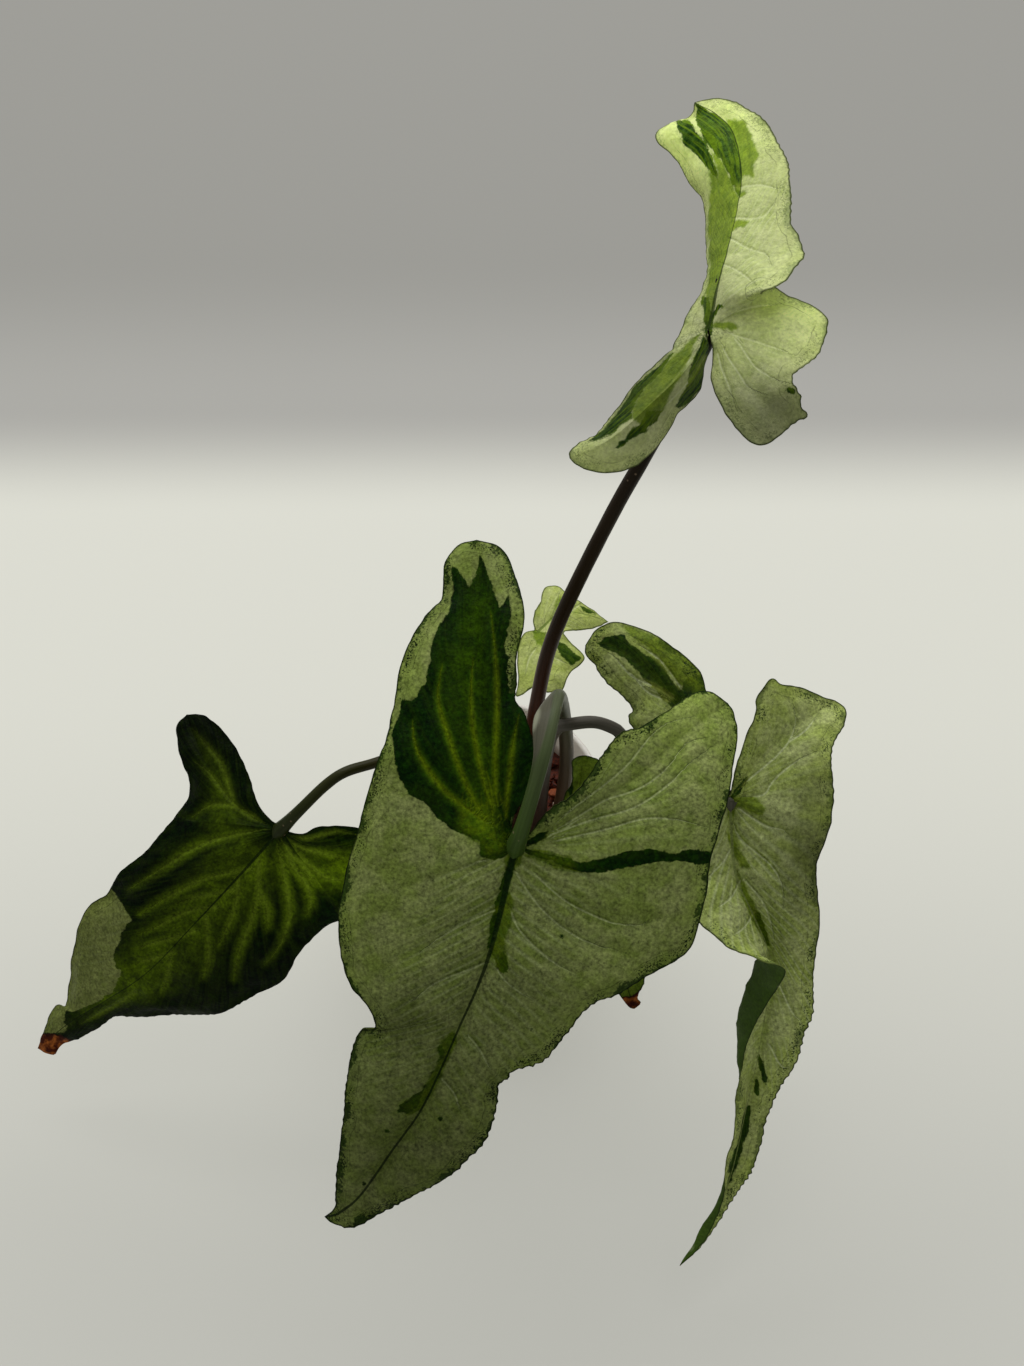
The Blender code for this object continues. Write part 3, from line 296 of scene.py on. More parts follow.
# The larger side veins of each blade as seen from the standpoint: (halves, line).
SIDE_VEINS = {
    "leaf_front": (
        (LEFT_LOBE, [(-2, 3.5), (-6.5, 12), (-9.5, 22.5), (-11.5, 33), (-12, 42), (-11.5, 51.5)]),
        (LEFT_LOBE, [(-2, 3.5), (-5, 12), (-5.5, 22.5), (-5, 34.5), (-5, 45), (-5.5, 54.5), (-6.5, 64)]),
        (LEFT_LOBE, [(-2.5, 3.5), (-10, 11), (-15.5, 22.5), (-18.5, 31.5), (-21, 40.5), (-20, 49.5)]),
        (LEFT, [(-2.5, 3.5), (-11.5, 9.5), (-18.5, 15), (-23.5, 21), (-27, 27.5), (-28, 34.5)]),
        (LEFT_LOBE, [(-1.5, 4), (-2.5, 10.5), (-1.5, 19.5), (-0.5, 28.5), (1, 36)]),
        (RIGHT_LOBE, [(4, 0.5), (14, 6.5), (24.5, 13), (31, 15), (37, 18), (42.5, 23), (46.5, 28.5),
            (52, 30)]),
        (RIGHT_LOBE, [(5, 1), (15.5, 10.5), (23.5, 16.5), (30.5, 22.5), (36.5, 30), (41.5, 34), (49.5, 36)]),
        (RIGHT_LOBE, [(9.5, 3.5), (20.5, 7.5), (32.5, 11), (41.5, 17), (47.5, 23), (53.5, 27.5)]),
        (RIGHT_LOBE, [(11.5, 2), (24.5, 5), (35.5, 8), (45, 7.5), (54, 5)]),
        (MAIN, [(2.5, -1.5), (5.5, -7), (9.5, -11), (14.5, -15), (21.5, -18.5), (27, -20.5), (33.5, -21),
            (38, -19)]),
        (MAIN, [(4.5, -2.5), (9.5, -4.5), (15.5, -6), (24, -6), (34.5, -6), (39.5, -7.5), (44, -9.5)]),
        (MAIN, [(0.5, -7), (3.5, -12), (8, -17.5), (14, -22.5), (20.5, -26), (28, -28)]),
        (MAIN, [(-1.5, -16.5), (1, -22), (5.5, -27), (11, -31.5), (17, -34.5)]),
        (MAIN, [(-6, -29.5), (-4, -34.5), (-0.5, -38), (5.5, -42)]),
        (MAIN, [(-12.5, -51.5), (-9.5, -55.5), (-6.5, -61)]),
        (MAIN, [(-20, -63), (-16.5, -67), (-15, -71.5)]),
        (MAIN, [(-3, -3), (-9.5, -3.5), (-22, -4.5), (-31, -7), (-35.5, -9.5)]),
        (MAIN, [(-4.5, -16.5), (-12.5, -20), (-20.5, -24.5), (-26, -28.5)]),
        (MAIN, [(-8.5, -31.5), (-15, -34), (-22, -37), (-28.5, -42)]),
    ),
    "leaf_left": (
        (MAIN, [(-1.5, 0.5), (-11, -1), (-19.5, -3), (-26.5, -6), (-32, -9.5), (-39, -14), (-44.5, -17.5)]),
        (MAIN, [(-9.5, -11.5), (-16, -13), (-22.5, -14.5), (-28.5, -17.5), (-35, -21), (-40.5, -24.5)]),
        (MAIN, [(-14, -17.5), (-19, -19), (-25, -20), (-30.5, -22)]),
        (MAIN, [(-19, -23), (-25, -23.5), (-31.5, -26), (-37, -29), (-41, -30.5)]),
        (MAIN, [(-25.5, -30), (-31.5, -32), (-37.5, -33.5), (-42.5, -35)]),
        (MAIN, [(-32, -36.5), (-37, -38), (-42.5, -39.5)]),
        (LEFT_LOBE, [(-3, 1), (-9, 4), (-14, 8), (-17.5, 12.5), (-21, 17), (-25, 20)]),
        (LEFT_LOBE, [(-14, 8.5), (-16, 15.5), (-18, 20.5), (-22.5, 26), (-25.5, 29.5)]),
        (LEFT_LOBE, [(-3.5, 1.5), (-10.5, 5.5), (-16.5, 7.5), (-21.5, 7), (-25.5, 4)]),
        (MAIN, [(-0.5, -1.5), (3, -7), (6.5, -10.5), (10, -15), (12.5, -16.5)]),
        (MAIN, [(-1.5, -2.5), (0.5, -10.5), (2, -18.5), (2.5, -26.5), (0, -34), (-4, -39)]),
        (MAIN, [(-6.5, -9), (-6.5, -16.5), (-7.5, -23.5), (-10, -30.5), (-12.5, -37.5), (-13.5, -43.5)]),
        (MAIN, [(0, -3.5), (3.5, -10.5), (7.5, -16), (9, -21), (8, -25)]),
        (MAIN, [(-12.5, -14.5), (-13, -21.5), (-15.5, -28.5), (-18, -34)]),
        (MAIN, [(-22, -26), (-21.5, -32), (-21, -37.5), (-22.5, -43)]),
        (MAIN, [(-6.5, -17.5), (-4, -23), (-3.5, -28.5)]),
        (MAIN, [(-32.5, -39), (-33.5, -44), (-35, -48)]),
        (MAIN, [(-43, -48), (-46.5, -50.5), (-53, -54), (-58.5, -57)]),
        (RIGHT_LOBE, [(0.5, -1), (5.5, -5), (13, -7), (22, -9.5)]),
        (RIGHT_LOBE, [(2, -1.5), (8.5, -2.5), (16, -0.5), (22.5, -1.5)]),
        (RIGHT_LOBE, [(1.5, -2), (7, -9), (13, -14), (19, -15)]),
    ),
    "leaf_right": (
        (RIGHT_LOBE, [(0, 0.5), (6, 6), (12, 11), (17, 16.5), (19, 22.5), (18, 28.5)]),
        (RIGHT_LOBE, [(17, 16.5), (22, 20), (25.5, 24.5)]),
        (RIGHT_LOBE, [(1, 0.5), (9.5, 1), (12, 4.5), (16, 8.5), (21, 12), (25.5, 14)]),
        (MAIN, [(-0.5, -1), (5, -4.5), (11, -8), (15.5, -9), (17.5, -11.5)]),
        (MAIN, [(-0.5, -4), (3, -11.5), (8, -16), (12, -19.5), (15, -25), (15.5, -31)]),
        (MAIN, [(4, -23.5), (9.5, -30), (12, -37), (13, -43)]),
        (MAIN, [(0, -15), (-2.5, -19), (-6.5, -23)]),
        (MAIN, [(3, -24), (0, -29), (-4.5, -32)]),
        (MAIN, [(7, -33), (4, -37.5), (0, -40)]),
        (MAIN, [(14.5, -54.5), (18, -62), (21, -65)]),
        (MAIN, [(11.5, -71.5), (14.5, -77), (17.5, -78)]),
        (LEFT_LOBE, [(-17, 29.5), (-22, 32.5), (-28.5, 35.5), (-33.5, 41), (-37.5, 43.5)]),
        (LEFT_LOBE, [(-14.5, 32.5), (-18, 37.5), (-22, 41.5), (-28, 45.5)]),
        (LEFT_LOBE, [(-18.5, 28.5), (-24, 31), (-28, 35.5), (-33, 39.5)]),
    ),
    "leaf_tall": (
        (RIGHT_LOBE, [(2.5, 0.5), (7, -1.5), (12, -3), (18, -5), (22.5, -7)]),
        (RIGHT_LOBE, [(3, -0.5), (7, -2.5), (9.5, -6), (12.5, -10), (18, -13.5), (21.5, -14.5)]),
        (RIGHT_LOBE, [(2.5, -1), (4.5, -6), (8, -11.5), (10.5, -15), (15, -17)]),
        (RIGHT_LOBE, [(2, -2.5), (3, -8.5), (5.5, -15), (7.5, -21)]),
        (RIGHT_LOBE, [(1.5, 3), (7, 4.5), (13.5, 6), (19.5, 6.5)]),
        (RIGHT_LOBE, [(2, 4), (5.5, 8), (9.5, 9.5), (16.5, 10.5)]),
        (MAIN, [(7, 29), (13.5, 29), (16.5, 31.5), (18, 34.5)]),
        (MAIN, [(8, 37), (13.5, 37.5), (19.5, 36.5)]),
        (MAIN, [(6, 23.5), (10.5, 21), (15, 19.5), (16.5, 16.5)]),
        (MAIN, [(4, 17), (8, 15), (12.5, 11.5)]),
        (LEFT_LOBE, [(-1.5, -3), (-6, -9.5), (-10.5, -15), (-15, -19), (-19.5, -22.5)]),
        (LEFT_LOBE, [(-1, -7.5), (-3.5, -12), (-7.5, -16.5), (-11.5, -20.5), (-14, -23.5)]),
    ),
    "leaf_young": (
        (MAIN, [(4.5, 4), (6, 8), (6.5, 11.5)]),
        (MAIN, [(10, 6), (12.5, 8), (13.5, 9)]),
        (RIGHT_LOBE, [(0.5, -4), (-2.5, -8), (-4, -14)]),
        (RIGHT_LOBE, [(1, -5), (5, -8), (9, -10)]),
    ),
    "leaf_low": (
        (MAIN, [(1, -4), (8, -12), (15, -15)]),
        (MAIN, [(4, -19), (10, -27), (16, -30)]),
        (MAIN, [(3, -14), (-2, -20), (-5, -22)]),
        (MAIN, [(7, -36), (12, -43), (16, -46)]),
        (RIGHT_LOBE, [(2, 2), (6, 4), (10, 4)]),
    ),
}

# Markings by blade and kind. A patch is (halves it lies on, outline); a streak is (halves, width, line),
# whose width fades to its ends. "all" darkens the named halves except in the patches of kind "pale".
PATCHES = {
    "leaf_front": dict(
        deep=[
            (LEFT, [(-17, 70.5), (-18, 64.5), (-20.5, 60.5), (-22.5, 55.5), (-23.5, 49), (-24.5, 44.5),
                (-28, 40), (-31.5, 41), (-31.5, 36), (-34, 32), (-32.5, 23.5), (-31.5, 19.5), (-29, 14.5),
                (-24.5, 13), (-21.5, 8.5), (-16.5, 5), (-10, 2), (-9.5, -3), (-4, -3), (0, -1), (8, -0.5),
                (9, 43), (-1.5, 42), (-2, 52), (-3, 55), (-1, 63), (-1.5, 69), (-4, 65.5), (-6.5, 73),
                (-9.5, 80.5), (-10.5, 75), (-12.5, 71), (-15.5, 76), (-17.5, 78)]),
            (MAIN, [(-20.5, -53), (-21.5, -55), (-20, -56.5), (-22.5, -61), (-26, -66), (-31.5, -69.5),
                (-32, -71.5), (-30, -72.5), (-27, -71), (-23.5, -63), (-19, -55)]),
            (MAIN, [(-3, -28), (-1.5, -31), (-2, -34), (-3.5, -34), (-5, -32), (-4, -29)]),
            (EVERY, [(9.5, -1.5), (19, -4), (29, -1.2), (36.5, 0), (43, -1.6), (47, -0.2), (54, -1.2),
                (54, -4.8), (46.5, -3.6), (39.5, -3.6), (34, -5), (27, -6.2), (19, -6.8), (11.5, -5)]),
        ],
        fresh=[
            (EVERY, [(4, 0), (9.5, -1), (16, -2.8), (17, -6.4), (11, -5.8), (6.5, -3.4), (3, -2.8)]),
            (LEFT, [(-16, 11), (-7.5, 14), (-3.5, 5), (-1.5, 0.5), (-5, -2.5), (-8.5, -3.5), (-10, 1),
                (-15.5, 5)]),
            (MAIN, [(-2, -10), (-0.5, -15.5), (-1, -21), (-2, -23.5), (-2.5, -27.5), (-1.5, -31), (-2, -34),
                (-3.5, -34), (-5, -32), (-7, -29), (-5.5, -23.5), (-4, -17)]),
            (MAIN, [(-16.5, -49.5), (-20.5, -53), (-21.5, -55), (-20, -56.5), (-22.5, -61), (-26, -66),
                (-31.5, -69.5), (-30, -72.5), (-26.5, -72), (-23, -67.5), (-19, -60), (-16, -53)]),
        ],
    ),
    "leaf_left": dict(
        all=EVERY,
        pale=[
            (EVERY, [(-52, -14), (-49.5, -18), (-47, -20), (-44.5, -23.5), (-43, -26.5), (-46, -30.5),
                (-48.5, -37), (-47.5, -40.5), (-46, -41), (-47.5, -44.5), (-49.5, -48), (-55, -51.5),
                (-62.5, -54), (-66.5, -53), (-66, -20)]),
            (EVERY, [(-69.5, -50), (-67, -52), (-62.5, -53.5), (-63.5, -57), (-62.5, -58), (-64, -60),
                (-71, -60)]),
        ],
        scorch=[(EVERY, [(-74, -59), (-69.5, -60), (-64.5, -60), (-63, -61), (-61, -62.5), (-62, -66),
            (-67, -69), (-74.5, -68)])],
    ),
    "leaf_right": dict(
        deep=[
            (LEFT_LOBE, [(-39, 45), (-36.5, 47), (-30.5, 47.5), (-29, 45), (-24.5, 41.5), (-20.5, 40.5),
                (-17, 34.5), (-13, 30.5), (-15, 25.5), (-20, 29), (-26.5, 36.5), (-31, 41)]),
            (LEFT_LOBE, [(-15, 30), (-13, 34.5), (-10, 36), (-4.5, 35.5), (-5, 28), (-12, 26)]),
        ],
        fresh=[
            (LEFT_LOBE, [(-31.5, 51), (-24.5, 48.5), (-16.5, 44.5), (-10.5, 39), (-5, 33), (-8, 29),
                (-14.5, 33), (-21, 41.5), (-29, 47.5)]),
            (EVERY, [(-0.5, 0.8), (7, 0.6), (10.5, -2.5), (9, -5), (6, -4), (0.5, -1.5)]),
            (MAIN, [(-0.5, -2), (1.5, -4), (1, -6), (-0.8, -5)]),
            (MAIN, [(-1, -9), (1.5, -12.5), (4, -16), (6.4, -20.5), (3, -20), (0.5, -15)]),
            (MAIN, [(2, -20.5), (4.2, -24.5), (7.2, -30.5), (10.4, -38), (11.8, -43), (7, -36.5), (4, -30)]),
        ],
    ),
    "leaf_tall": dict(
        deep=[
            (LEFT_MAIN, [(-8, 53.8), (-5, 54), (-2.8, 51.6), (-0.5, 49), (1.6, 45.5), (3.2, 41), (3.4, 38.5),
                (1.4, 41), (-2.5, 45.5), (-5, 47.5), (-6.5, 50.5)]),
            (LEFT_MAIN, [(-3.6, 59), (-0.5, 57), (3.5, 55), (8, 52), (9, 42), (8.6, 33), (7.2, 35.5),
                (6, 39.5), (4.4, 43), (1.6, 46.6), (-0.6, 49.6), (-2, 52.4), (-3.2, 56)]),
            (LEFT_LOBE, [(-9, -6.5), (-13, -9.5), (-18.5, -14), (-22.5, -19.5), (-26.5, -25), (-31.5, -29),
                (-28, -28.7), (-25.5, -27.5), (-20, -23), (-19.5, -20.5), (-16.5, -16), (-12, -11.5)]),
            (LEFT_LOBE, [(-16, -21.5), (-18.5, -25), (-23.5, -30), (-26, -32), (-21.5, -29.5), (-13.5, -24),
                (-11.5, -21)]),
            (LEFT_LOBE, [(-1.2, -1.5), (0.6, -4), (0.4, -11.5), (-1, -15), (-4, -18.5), (-7, -21),
                (-8.2, -20), (-5.5, -14.5), (-4.5, -10.5), (-2.8, -5)]),
        ],
        fresh=[
            (LEFT_MAIN, [(1.6, 46), (4.4, 44), (6.2, 40), (7.6, 35.5), (9, 33), (8, 20), (3, 6), (0, 0),
                (-1, 6), (0, 12), (0.5, 23.5), (1, 33), (1.6, 38), (1.2, 41.5), (3, 40.5)]),
            (RIGHT_MAIN, [(4.5, 55), (10, 54), (11, 51.5), (12, 49), (13.5, 44.5), (12, 42), (12, 39.5),
                (9, 40), (8, 37), (7, 40), (5, 49.5)]),
            (RIGHT_MAIN, [(7.5, 36.5), (11, 35.5), (9, 34.5), (7.5, 34)]),
            (RIGHT_MAIN, [(6.5, 29), (10.5, 28), (9.5, 26.5), (6, 25.5)]),
            (LEFT_LOBE, [(-1.5, -0.5), (-6, -4.5), (-12.5, -10.5), (-19, -17.5), (-20, -22.5), (-17, -26.5),
                (-11.5, -21), (-8.5, -14.5), (-6, -10.5), (-3, -3)]),
        ],
    ),
    "leaf_young": dict(
        fresh=[
            (EVERY, [(4.5, 3), (5.5, 8.5), (7, 11), (8.5, 9), (8, 5.5)]),
            (EVERY, [(-2, 1), (2.5, -0.5), (3, -6), (-0.5, -4)]),
        ],
        deep=[
            (MAIN, [(10.5, 10), (14.5, 8), (18, 5.5), (15, 6)]),
            (RIGHT_LOBE, [(4.5, -2.5), (7, -7), (10.5, -11), (13, -8.5), (8.5, -4)]),
        ],
    ),
    "leaf_low": dict(
        scorch=[(MAIN, [(8, -57), (11, -58.5), (15, -57.5), (18.5, -54.5), (19.5, -59), (16.5, -63.5),
            (11, -63)])],
    ),
}

STREAKS = {
    "leaf_front": dict(
        deep=[
            (EVERY, 1.6, [(1, 0), (5, -1.4), (11, -3.4)]),
            (EVERY, 2.6, [(-2, 5), (0, 0), (-2, -8), (-4.5, -17), (-7, -27)]),
            (EVERY, 1.8, [(0, 0), (5, 2), (9, 4.5)]),
            (EVERY, 1.0, [(-35.5, -76), (-34.5, -77)]),
            (EVERY, 0.8, [(-41.5, -91), (-41, -92)]),
            (EVERY, 1.0, [(12, -24), (13, -24)]),
            (EVERY, 0.7, [(-25.5, -74), (-24.5, -74)]),
            (EVERY, 0.7, [(-20.5, -73.5), (-19.5, -73)]),
            (EVERY, 0.6, [(4, -49.5), (4.6, -49)]),
        ],
        fresh=[(EVERY, 5.0, [(-5, 4), (0, 1), (-1, -5)])],
    ),
    "leaf_left": dict(),
    "leaf_right": dict(
        deep=[
            (MAIN, 1.6, [(8, -74), (9.5, -79), (10.5, -82.5)]),
            (MAIN, 1.2, [(7.5, -81), (8, -85.5)]),
            (MAIN, 2.2, [(5.5, -89.5), (4, -97), (1.5, -104.5), (-0.5, -111.5)]),
            (EVERY, 1.4, [(-0.5, -1), (2.5, 2.5), (5, 6)]),
            (MAIN, 1.6, [(7, -32), (9.5, -38), (11, -42.5)]),
        ],
    ),
    "leaf_tall": dict(
        deep=[
            (EVERY, 2.2, [(-0.5, 8), (0.3, 2), (0, -2)]),
            (EVERY, 1.0, [(0, 3), (2, 5), (3.5, 6)]),
            (RIGHT_LOBE, 1.3, [(20.8, -16), (22.2, -16.2)]),
        ],
        fresh=[(EVERY, 1.6, [(0.5, 1), (4, 1), (7.5, 0.5)])],
    ),
    "leaf_young": dict(),
    "leaf_low": dict(deep=[(LEFT_LOBE, 2.0, [(-4, 2), (-5, 8)])]),
}

# Painted light and shade on each blade, with some of its own darker greens: soft lighter and darker
# areas, as (x, y, reach, factor).
PAINTED_LIGHT_AND_SHADE = {
    "leaf_tall": [(16, -24, 14, 0.35), (-16, -18, 18, 0.64), (-9, 49, 10, 1.4), (8, 57, 11, 1.25),
                  (5, 8, 6, 0.85), (24, 2, 13, 1.25), (2, 46, 9, 1.3)],
    "leaf_front": [(-30, -85, 42, 0.5), (45, 25, 30, 1.2), (-5, -35, 40, 0.75), (50.5, 38, 12, 1.42),
                   (24, 10, 8, 0.85), (-31, -46, 8, 0.7), (-20, 3, 12, 1.15), (-42, 12, 14, 1.1),
                   (-9, 5, 6, 1.35)],
    "leaf_left": [(-22, 34, 16, 0.5), (20, -12, 20, 2.4), (12, -16, 16, 1.2), (-50, -50, 16, 1.15)],
    "leaf_right": [(24, -17, 10, 0.38), (11, -12, 8, 1.15), (24, 3, 7, 0.65), (19.5, -29, 8, 0.75),
                   (30, 26, 8, 1.3), (-4, -25.5, 14, 1.2), (-11, -128, 12, 1.6), (12, -62, 24, 1.2),
                   (12, 10, 16, 1.15)],
    "leaf_young": [],
    "leaf_low": [],
}

# Colours in display values, and numbers that say how they are used. pale, deep, fresh and under are the
# two ends of the pale ground, the dark markings, the fresh green markings and the underside. margin tints
# the pale ground's edge. glow and line light up the veins of the dark markings, vein those of the pale
# ground. speck, rim and spine colour the specks, the margin's line and the midrib. light is how much light
# passes through the blade. speckles, heart, streaks and stain are how strong the specks, the glow near the
# main veins, the fresh fibres in the dark markings and the margin's stain are. glow_reach is how far a side
# vein glows, in millimetres, thick how wide the midrib is drawn, mottle how uneven the colour is, gloss how
# much it shines, and lengthwise whether fibres follow the main vein instead of the side veins.
# The pale grounds differ from blade to blade partly in their own colour and partly as painted light and
# shade: the tall and right blades are painted lighter, the front blade darker.
LOOKS = {
    "leaf_tall": dict(
        pale=((232, 238, 180), (212, 222, 154)), margin=(226, 234, 158), vein=(242, 248, 202),
        deep=((16, 50, 6), (64, 100, 34)), glow=(120, 146, 40), line=(178, 196, 80),
        fresh=((152, 178, 34), (118, 148, 22)), speck=(50, 76, 16), rim=(58, 70, 22), spine=(50, 70, 16),
        under=((196, 208, 136), (176, 190, 112)),
        light=0.45, speckles=0.45, glow_reach=2.5, heart=0.3, streaks=0.75, stain=0.35, thick=0.6,
        mottle=0.4, gloss=0.1, lengthwise=True,
    ),
    "leaf_front": dict(
        pale=((136, 146, 86), (112, 127, 58)), margin=(134, 150, 72), vein=(166, 176, 124),
        deep=((2, 22, 1), (16, 46, 1)), glow=(66, 98, 3), line=(98, 116, 6),
        fresh=((88, 108, 6), (64, 90, 6)), speck=(10, 30, 4), rim=(14, 28, 4), spine=(12, 34, 6),
        under=((124, 138, 76), (104, 120, 58)),
        light=0.2, speckles=1.0, glow_reach=2.6, heart=0.9, streaks=0.12, stain=0.85, thick=1.1, mottle=1.0,
        gloss=0.04, lengthwise=False,
    ),
    "leaf_left": dict(
        pale=((112, 120, 66), (94, 102, 52)), margin=(104, 114, 50), vein=(132, 142, 90),
        deep=((1, 9, 1), (8, 26, 1)), glow=(84, 106, 8), line=(88, 106, 22),
        fresh=((92, 112, 14), (74, 94, 10)), speck=(12, 28, 4), rim=(10, 18, 4), spine=(16, 30, 5),
        under=((92, 110, 54), (74, 92, 40)),
        light=0.2, speckles=0.15, glow_reach=3.4, heart=1.3, streaks=0.1, stain=0.3, thick=0.55, mottle=1.0,
        gloss=0.04, lengthwise=False,
    ),
    "leaf_right": dict(
        pale=((172, 181, 118), (146, 160, 82)), margin=(158, 173, 80), vein=(194, 202, 156),
        deep=((12, 38, 3), (34, 64, 6)), glow=(84, 104, 12), line=(150, 160, 70),
        fresh=((118, 138, 26), (92, 114, 18)), speck=(20, 44, 8), rim=(24, 36, 10), spine=(124, 136, 76),
        # Its underside is its own dark green, darkened further as painted shade on the rolled-over flap.
        under=((64, 86, 26), (44, 66, 16)),
        light=0.22, speckles=0.9, glow_reach=2.5, heart=0.8, streaks=0.2, stain=0.5, thick=0.5, mottle=0.9,
        gloss=0.1, lengthwise=False,
    ),
    "leaf_young": dict(
        pale=((222, 230, 158), (196, 210, 112)), margin=(204, 216, 112), vein=(232, 238, 180),
        deep=((36, 66, 8), (66, 98, 14)), glow=(132, 156, 30), line=(160, 180, 70),
        fresh=((140, 168, 30), (112, 144, 24)), speck=(60, 90, 20), rim=(84, 100, 36), spine=(124, 148, 60),
        under=((172, 188, 106), (150, 168, 84)),
        light=0.35, speckles=0.2, glow_reach=2.0, heart=0.5, streaks=0.3, stain=0.1, thick=0.5, mottle=0.4,
        gloss=0.1, lengthwise=False,
    ),
    "leaf_low": dict(
        pale=((104, 122, 36), (80, 100, 22)), margin=(104, 124, 30), vein=(124, 140, 56),
        deep=((20, 46, 5), (40, 70, 10)), glow=(90, 112, 18), line=(110, 128, 44),
        fresh=((100, 124, 20), (78, 100, 14)), speck=(22, 40, 8), rim=(26, 38, 10), spine=(44, 64, 12),
        under=((98, 118, 52), (82, 100, 40)),
        light=0.25, speckles=0.3, glow_reach=2.0, heart=0.8, streaks=0.2, stain=0.3, thick=0.7, mottle=0.8,
        gloss=0.08, lengthwise=False,
    ),
}


# Shared helpers

def new_object(name, data):
    ob = bpy.data.objects.new(name, data)
    bpy.context.scene.collection.objects.link(ob)
    return ob


def mesh_from(bm, name):
    mesh = bpy.data.meshes.new(name)
    bm.to_mesh(mesh)
    bm.free()
    return mesh


# Smooth curves, as in part.py

def spline(points, t):
    """The point at t from 0 to 1 on a smooth curve through points, which it passes at even steps."""
    spans = len(points) - 1
    i = min(int(t * spans), spans - 1)
    f = t * spans - i
    b, c = points[i], points[i + 1]
    a = points[i - 1] if i else b * 2 - c
    d = points[i + 2] if i + 2 <= spans else c * 2 - b
    return 0.5 * (2 * b + (c - a) * f + (2 * a - 5 * b + 4 * c - d) * f**2 + (3 * b - a - 3 * c + d) * f**3)


def evenly(points, count):
    """count + 1 points at even distances along the smooth curve through points, as an array."""
    points = [Vector(p) for p in points]
    fine = max(12 * (len(points) - 1), 2 * count)
    dense = [spline(points, i / fine) for i in range(fine + 1)]
    reach = [0.0]
    for p, q in zip(dense, dense[1:]):
        reach.append(reach[-1] + (q - p).length)
    found = []
    k = 0
    for i in range(count + 1):
        want = reach[-1] * i / count
        while k < fine - 1 and reach[k + 1] < want:
            k += 1
        step = reach[k + 1] - reach[k]
        found.append(tuple(dense[k].lerp(dense[k + 1], (want - reach[k]) / step)))
    return np.array(found)


def smooth(x, low, high):
    """0 below low, 1 above high, and an S curve between them."""
    t = np.clip((x - low) / (high - low), 0.0, 1.0)
    return t * t * (3 - 2 * t)


def rough(points, size, seed):
    """Smooth noise of about -1 to 1 at each of the points, with features of the given size."""
    shift = Vector((seed * 17.3, seed * 5.7, seed * 11.1))
    return np.array([noise.noise(Vector(p) / size + shift) for p in points])


# Blades

def bow_line(keys, rows):
    """The sideways bow of a half blade's middle along its rows, between given keys (t, x, y, z)."""
    line = np.zeros((rows + 1, 3))
    if keys:
        t = np.linspace(0, 1, rows + 1)
        for axis in range(3):
            line[:, axis] = np.interp(t, [k[0] for k in keys], [k[1 + axis] for k in keys])
    return line


def toothed(veins, edges, stretch, seed):
    """The margin with its small unevenness, and with teeth along the given stretch."""
    along = np.gradient(edges[:, :2], axis=0)
    out = np.stack([along[:, 1], -along[:, 0]], axis=1)
    out /= np.maximum(np.linalg.norm(out, axis=1), 1e-6)[:, None]
    away = np.sign(((edges - veins)[:, :2] * out).sum(axis=1))
    out *= away[:, None]
    reach = np.concatenate([[0], np.cumsum(np.linalg.norm(np.diff(edges, axis=0), axis=1))])
    spots = [(s, seed, 0) for s in reach]
    offset = 0.22 * rough(spots, 2.4, seed) + 0.3 * rough(spots, 7.0, seed + 3)
    if stretch:
        start, end, height = stretch
        t = reach / reach[-1]
        window = smooth(t, start, start + 0.08) * (1 - smooth(t, end - 0.04, end))
        pitch = TOOTH_PITCH + 1.2 * rough(spots, 9.0, seed + 5)
        tooth = 0.5 + 0.5 * np.sin(2 * np.pi * np.cumsum(np.gradient(reach) / pitch))
        offset += height * window * (tooth**1.5 * (0.6 + 0.7 * rough(spots, 5.0, seed + 8)) - 0.15)
    count = len(edges)
    ends = np.minimum(1, np.minimum(np.arange(count), count - 1 - np.arange(count)) / 8)
    edges = edges.copy()
    edges[:, :2] += out * (offset * ends)[:, None]
    return edges


def place(spec, local):
    """Points of a blade, in millimetres in the row frame, from their places as seen from the standpoint."""
    junction = np.array(spec["junction"])
    eye, sight = np.array(EYE), np.array(SIGHT)
    depth = (junction - eye) @ sight
    flat = junction + local[..., 0:1] * np.array(RIGHT) + local[..., 1:2] * np.array(UP)
    nearer = local[..., 2] - spec["sag"] * (local[..., 0] ** 2 + local[..., 1] ** 2)
    return flat + (eye - flat) * (nearer / depth)[..., None]


def pleat_phase(rows, columns, count, sweep):
    """A number that is whole along each fine pleat. Pleats leave the main vein and sweep towards the tip,
    and near the junction they fan out from it."""
    t = np.linspace(0, 1, rows + 1)[:, None]
    r = np.linspace(0, 1, columns + 1)[None, :]
    bend = sweep * np.maximum(r, 1e-4) ** 0.75
    return np.where(t > bend, count * (t - bend), 0.4 * count * sweep * (t / bend - 1))


def distance_to(points, line):
    """The distance from each point to the nearest point of a dense line."""
    nearest = np.full(len(points), 1e9)
    for spot in line:
        nearest = np.minimum(nearest, ((points - spot) ** 2).sum(axis=1))
    return np.sqrt(nearest)


def inside(points, outline):
    """Signed distance from each point to a closed outline, positive inside it."""
    corners = np.array(outline, float)
    nearest = np.full(len(points), 1e9)
    within = np.zeros(len(points), bool)
    for a, b in zip(corners, np.roll(corners, -1, axis=0)):
        side = b - a
        t = np.clip(((points - a) @ side) / (side @ side), 0, 1)
        nearest = np.minimum(nearest, np.linalg.norm(points - a - t[:, None] * side, axis=1))
        if a[1] != b[1]:
            crosses = (points[:, 1] < a[1]) != (points[:, 1] < b[1])
            within ^= crosses & (points[:, 0] < a[0] + side[0] * (points[:, 1] - a[1]) / side[1])
    return np.where(within, nearest, -nearest)


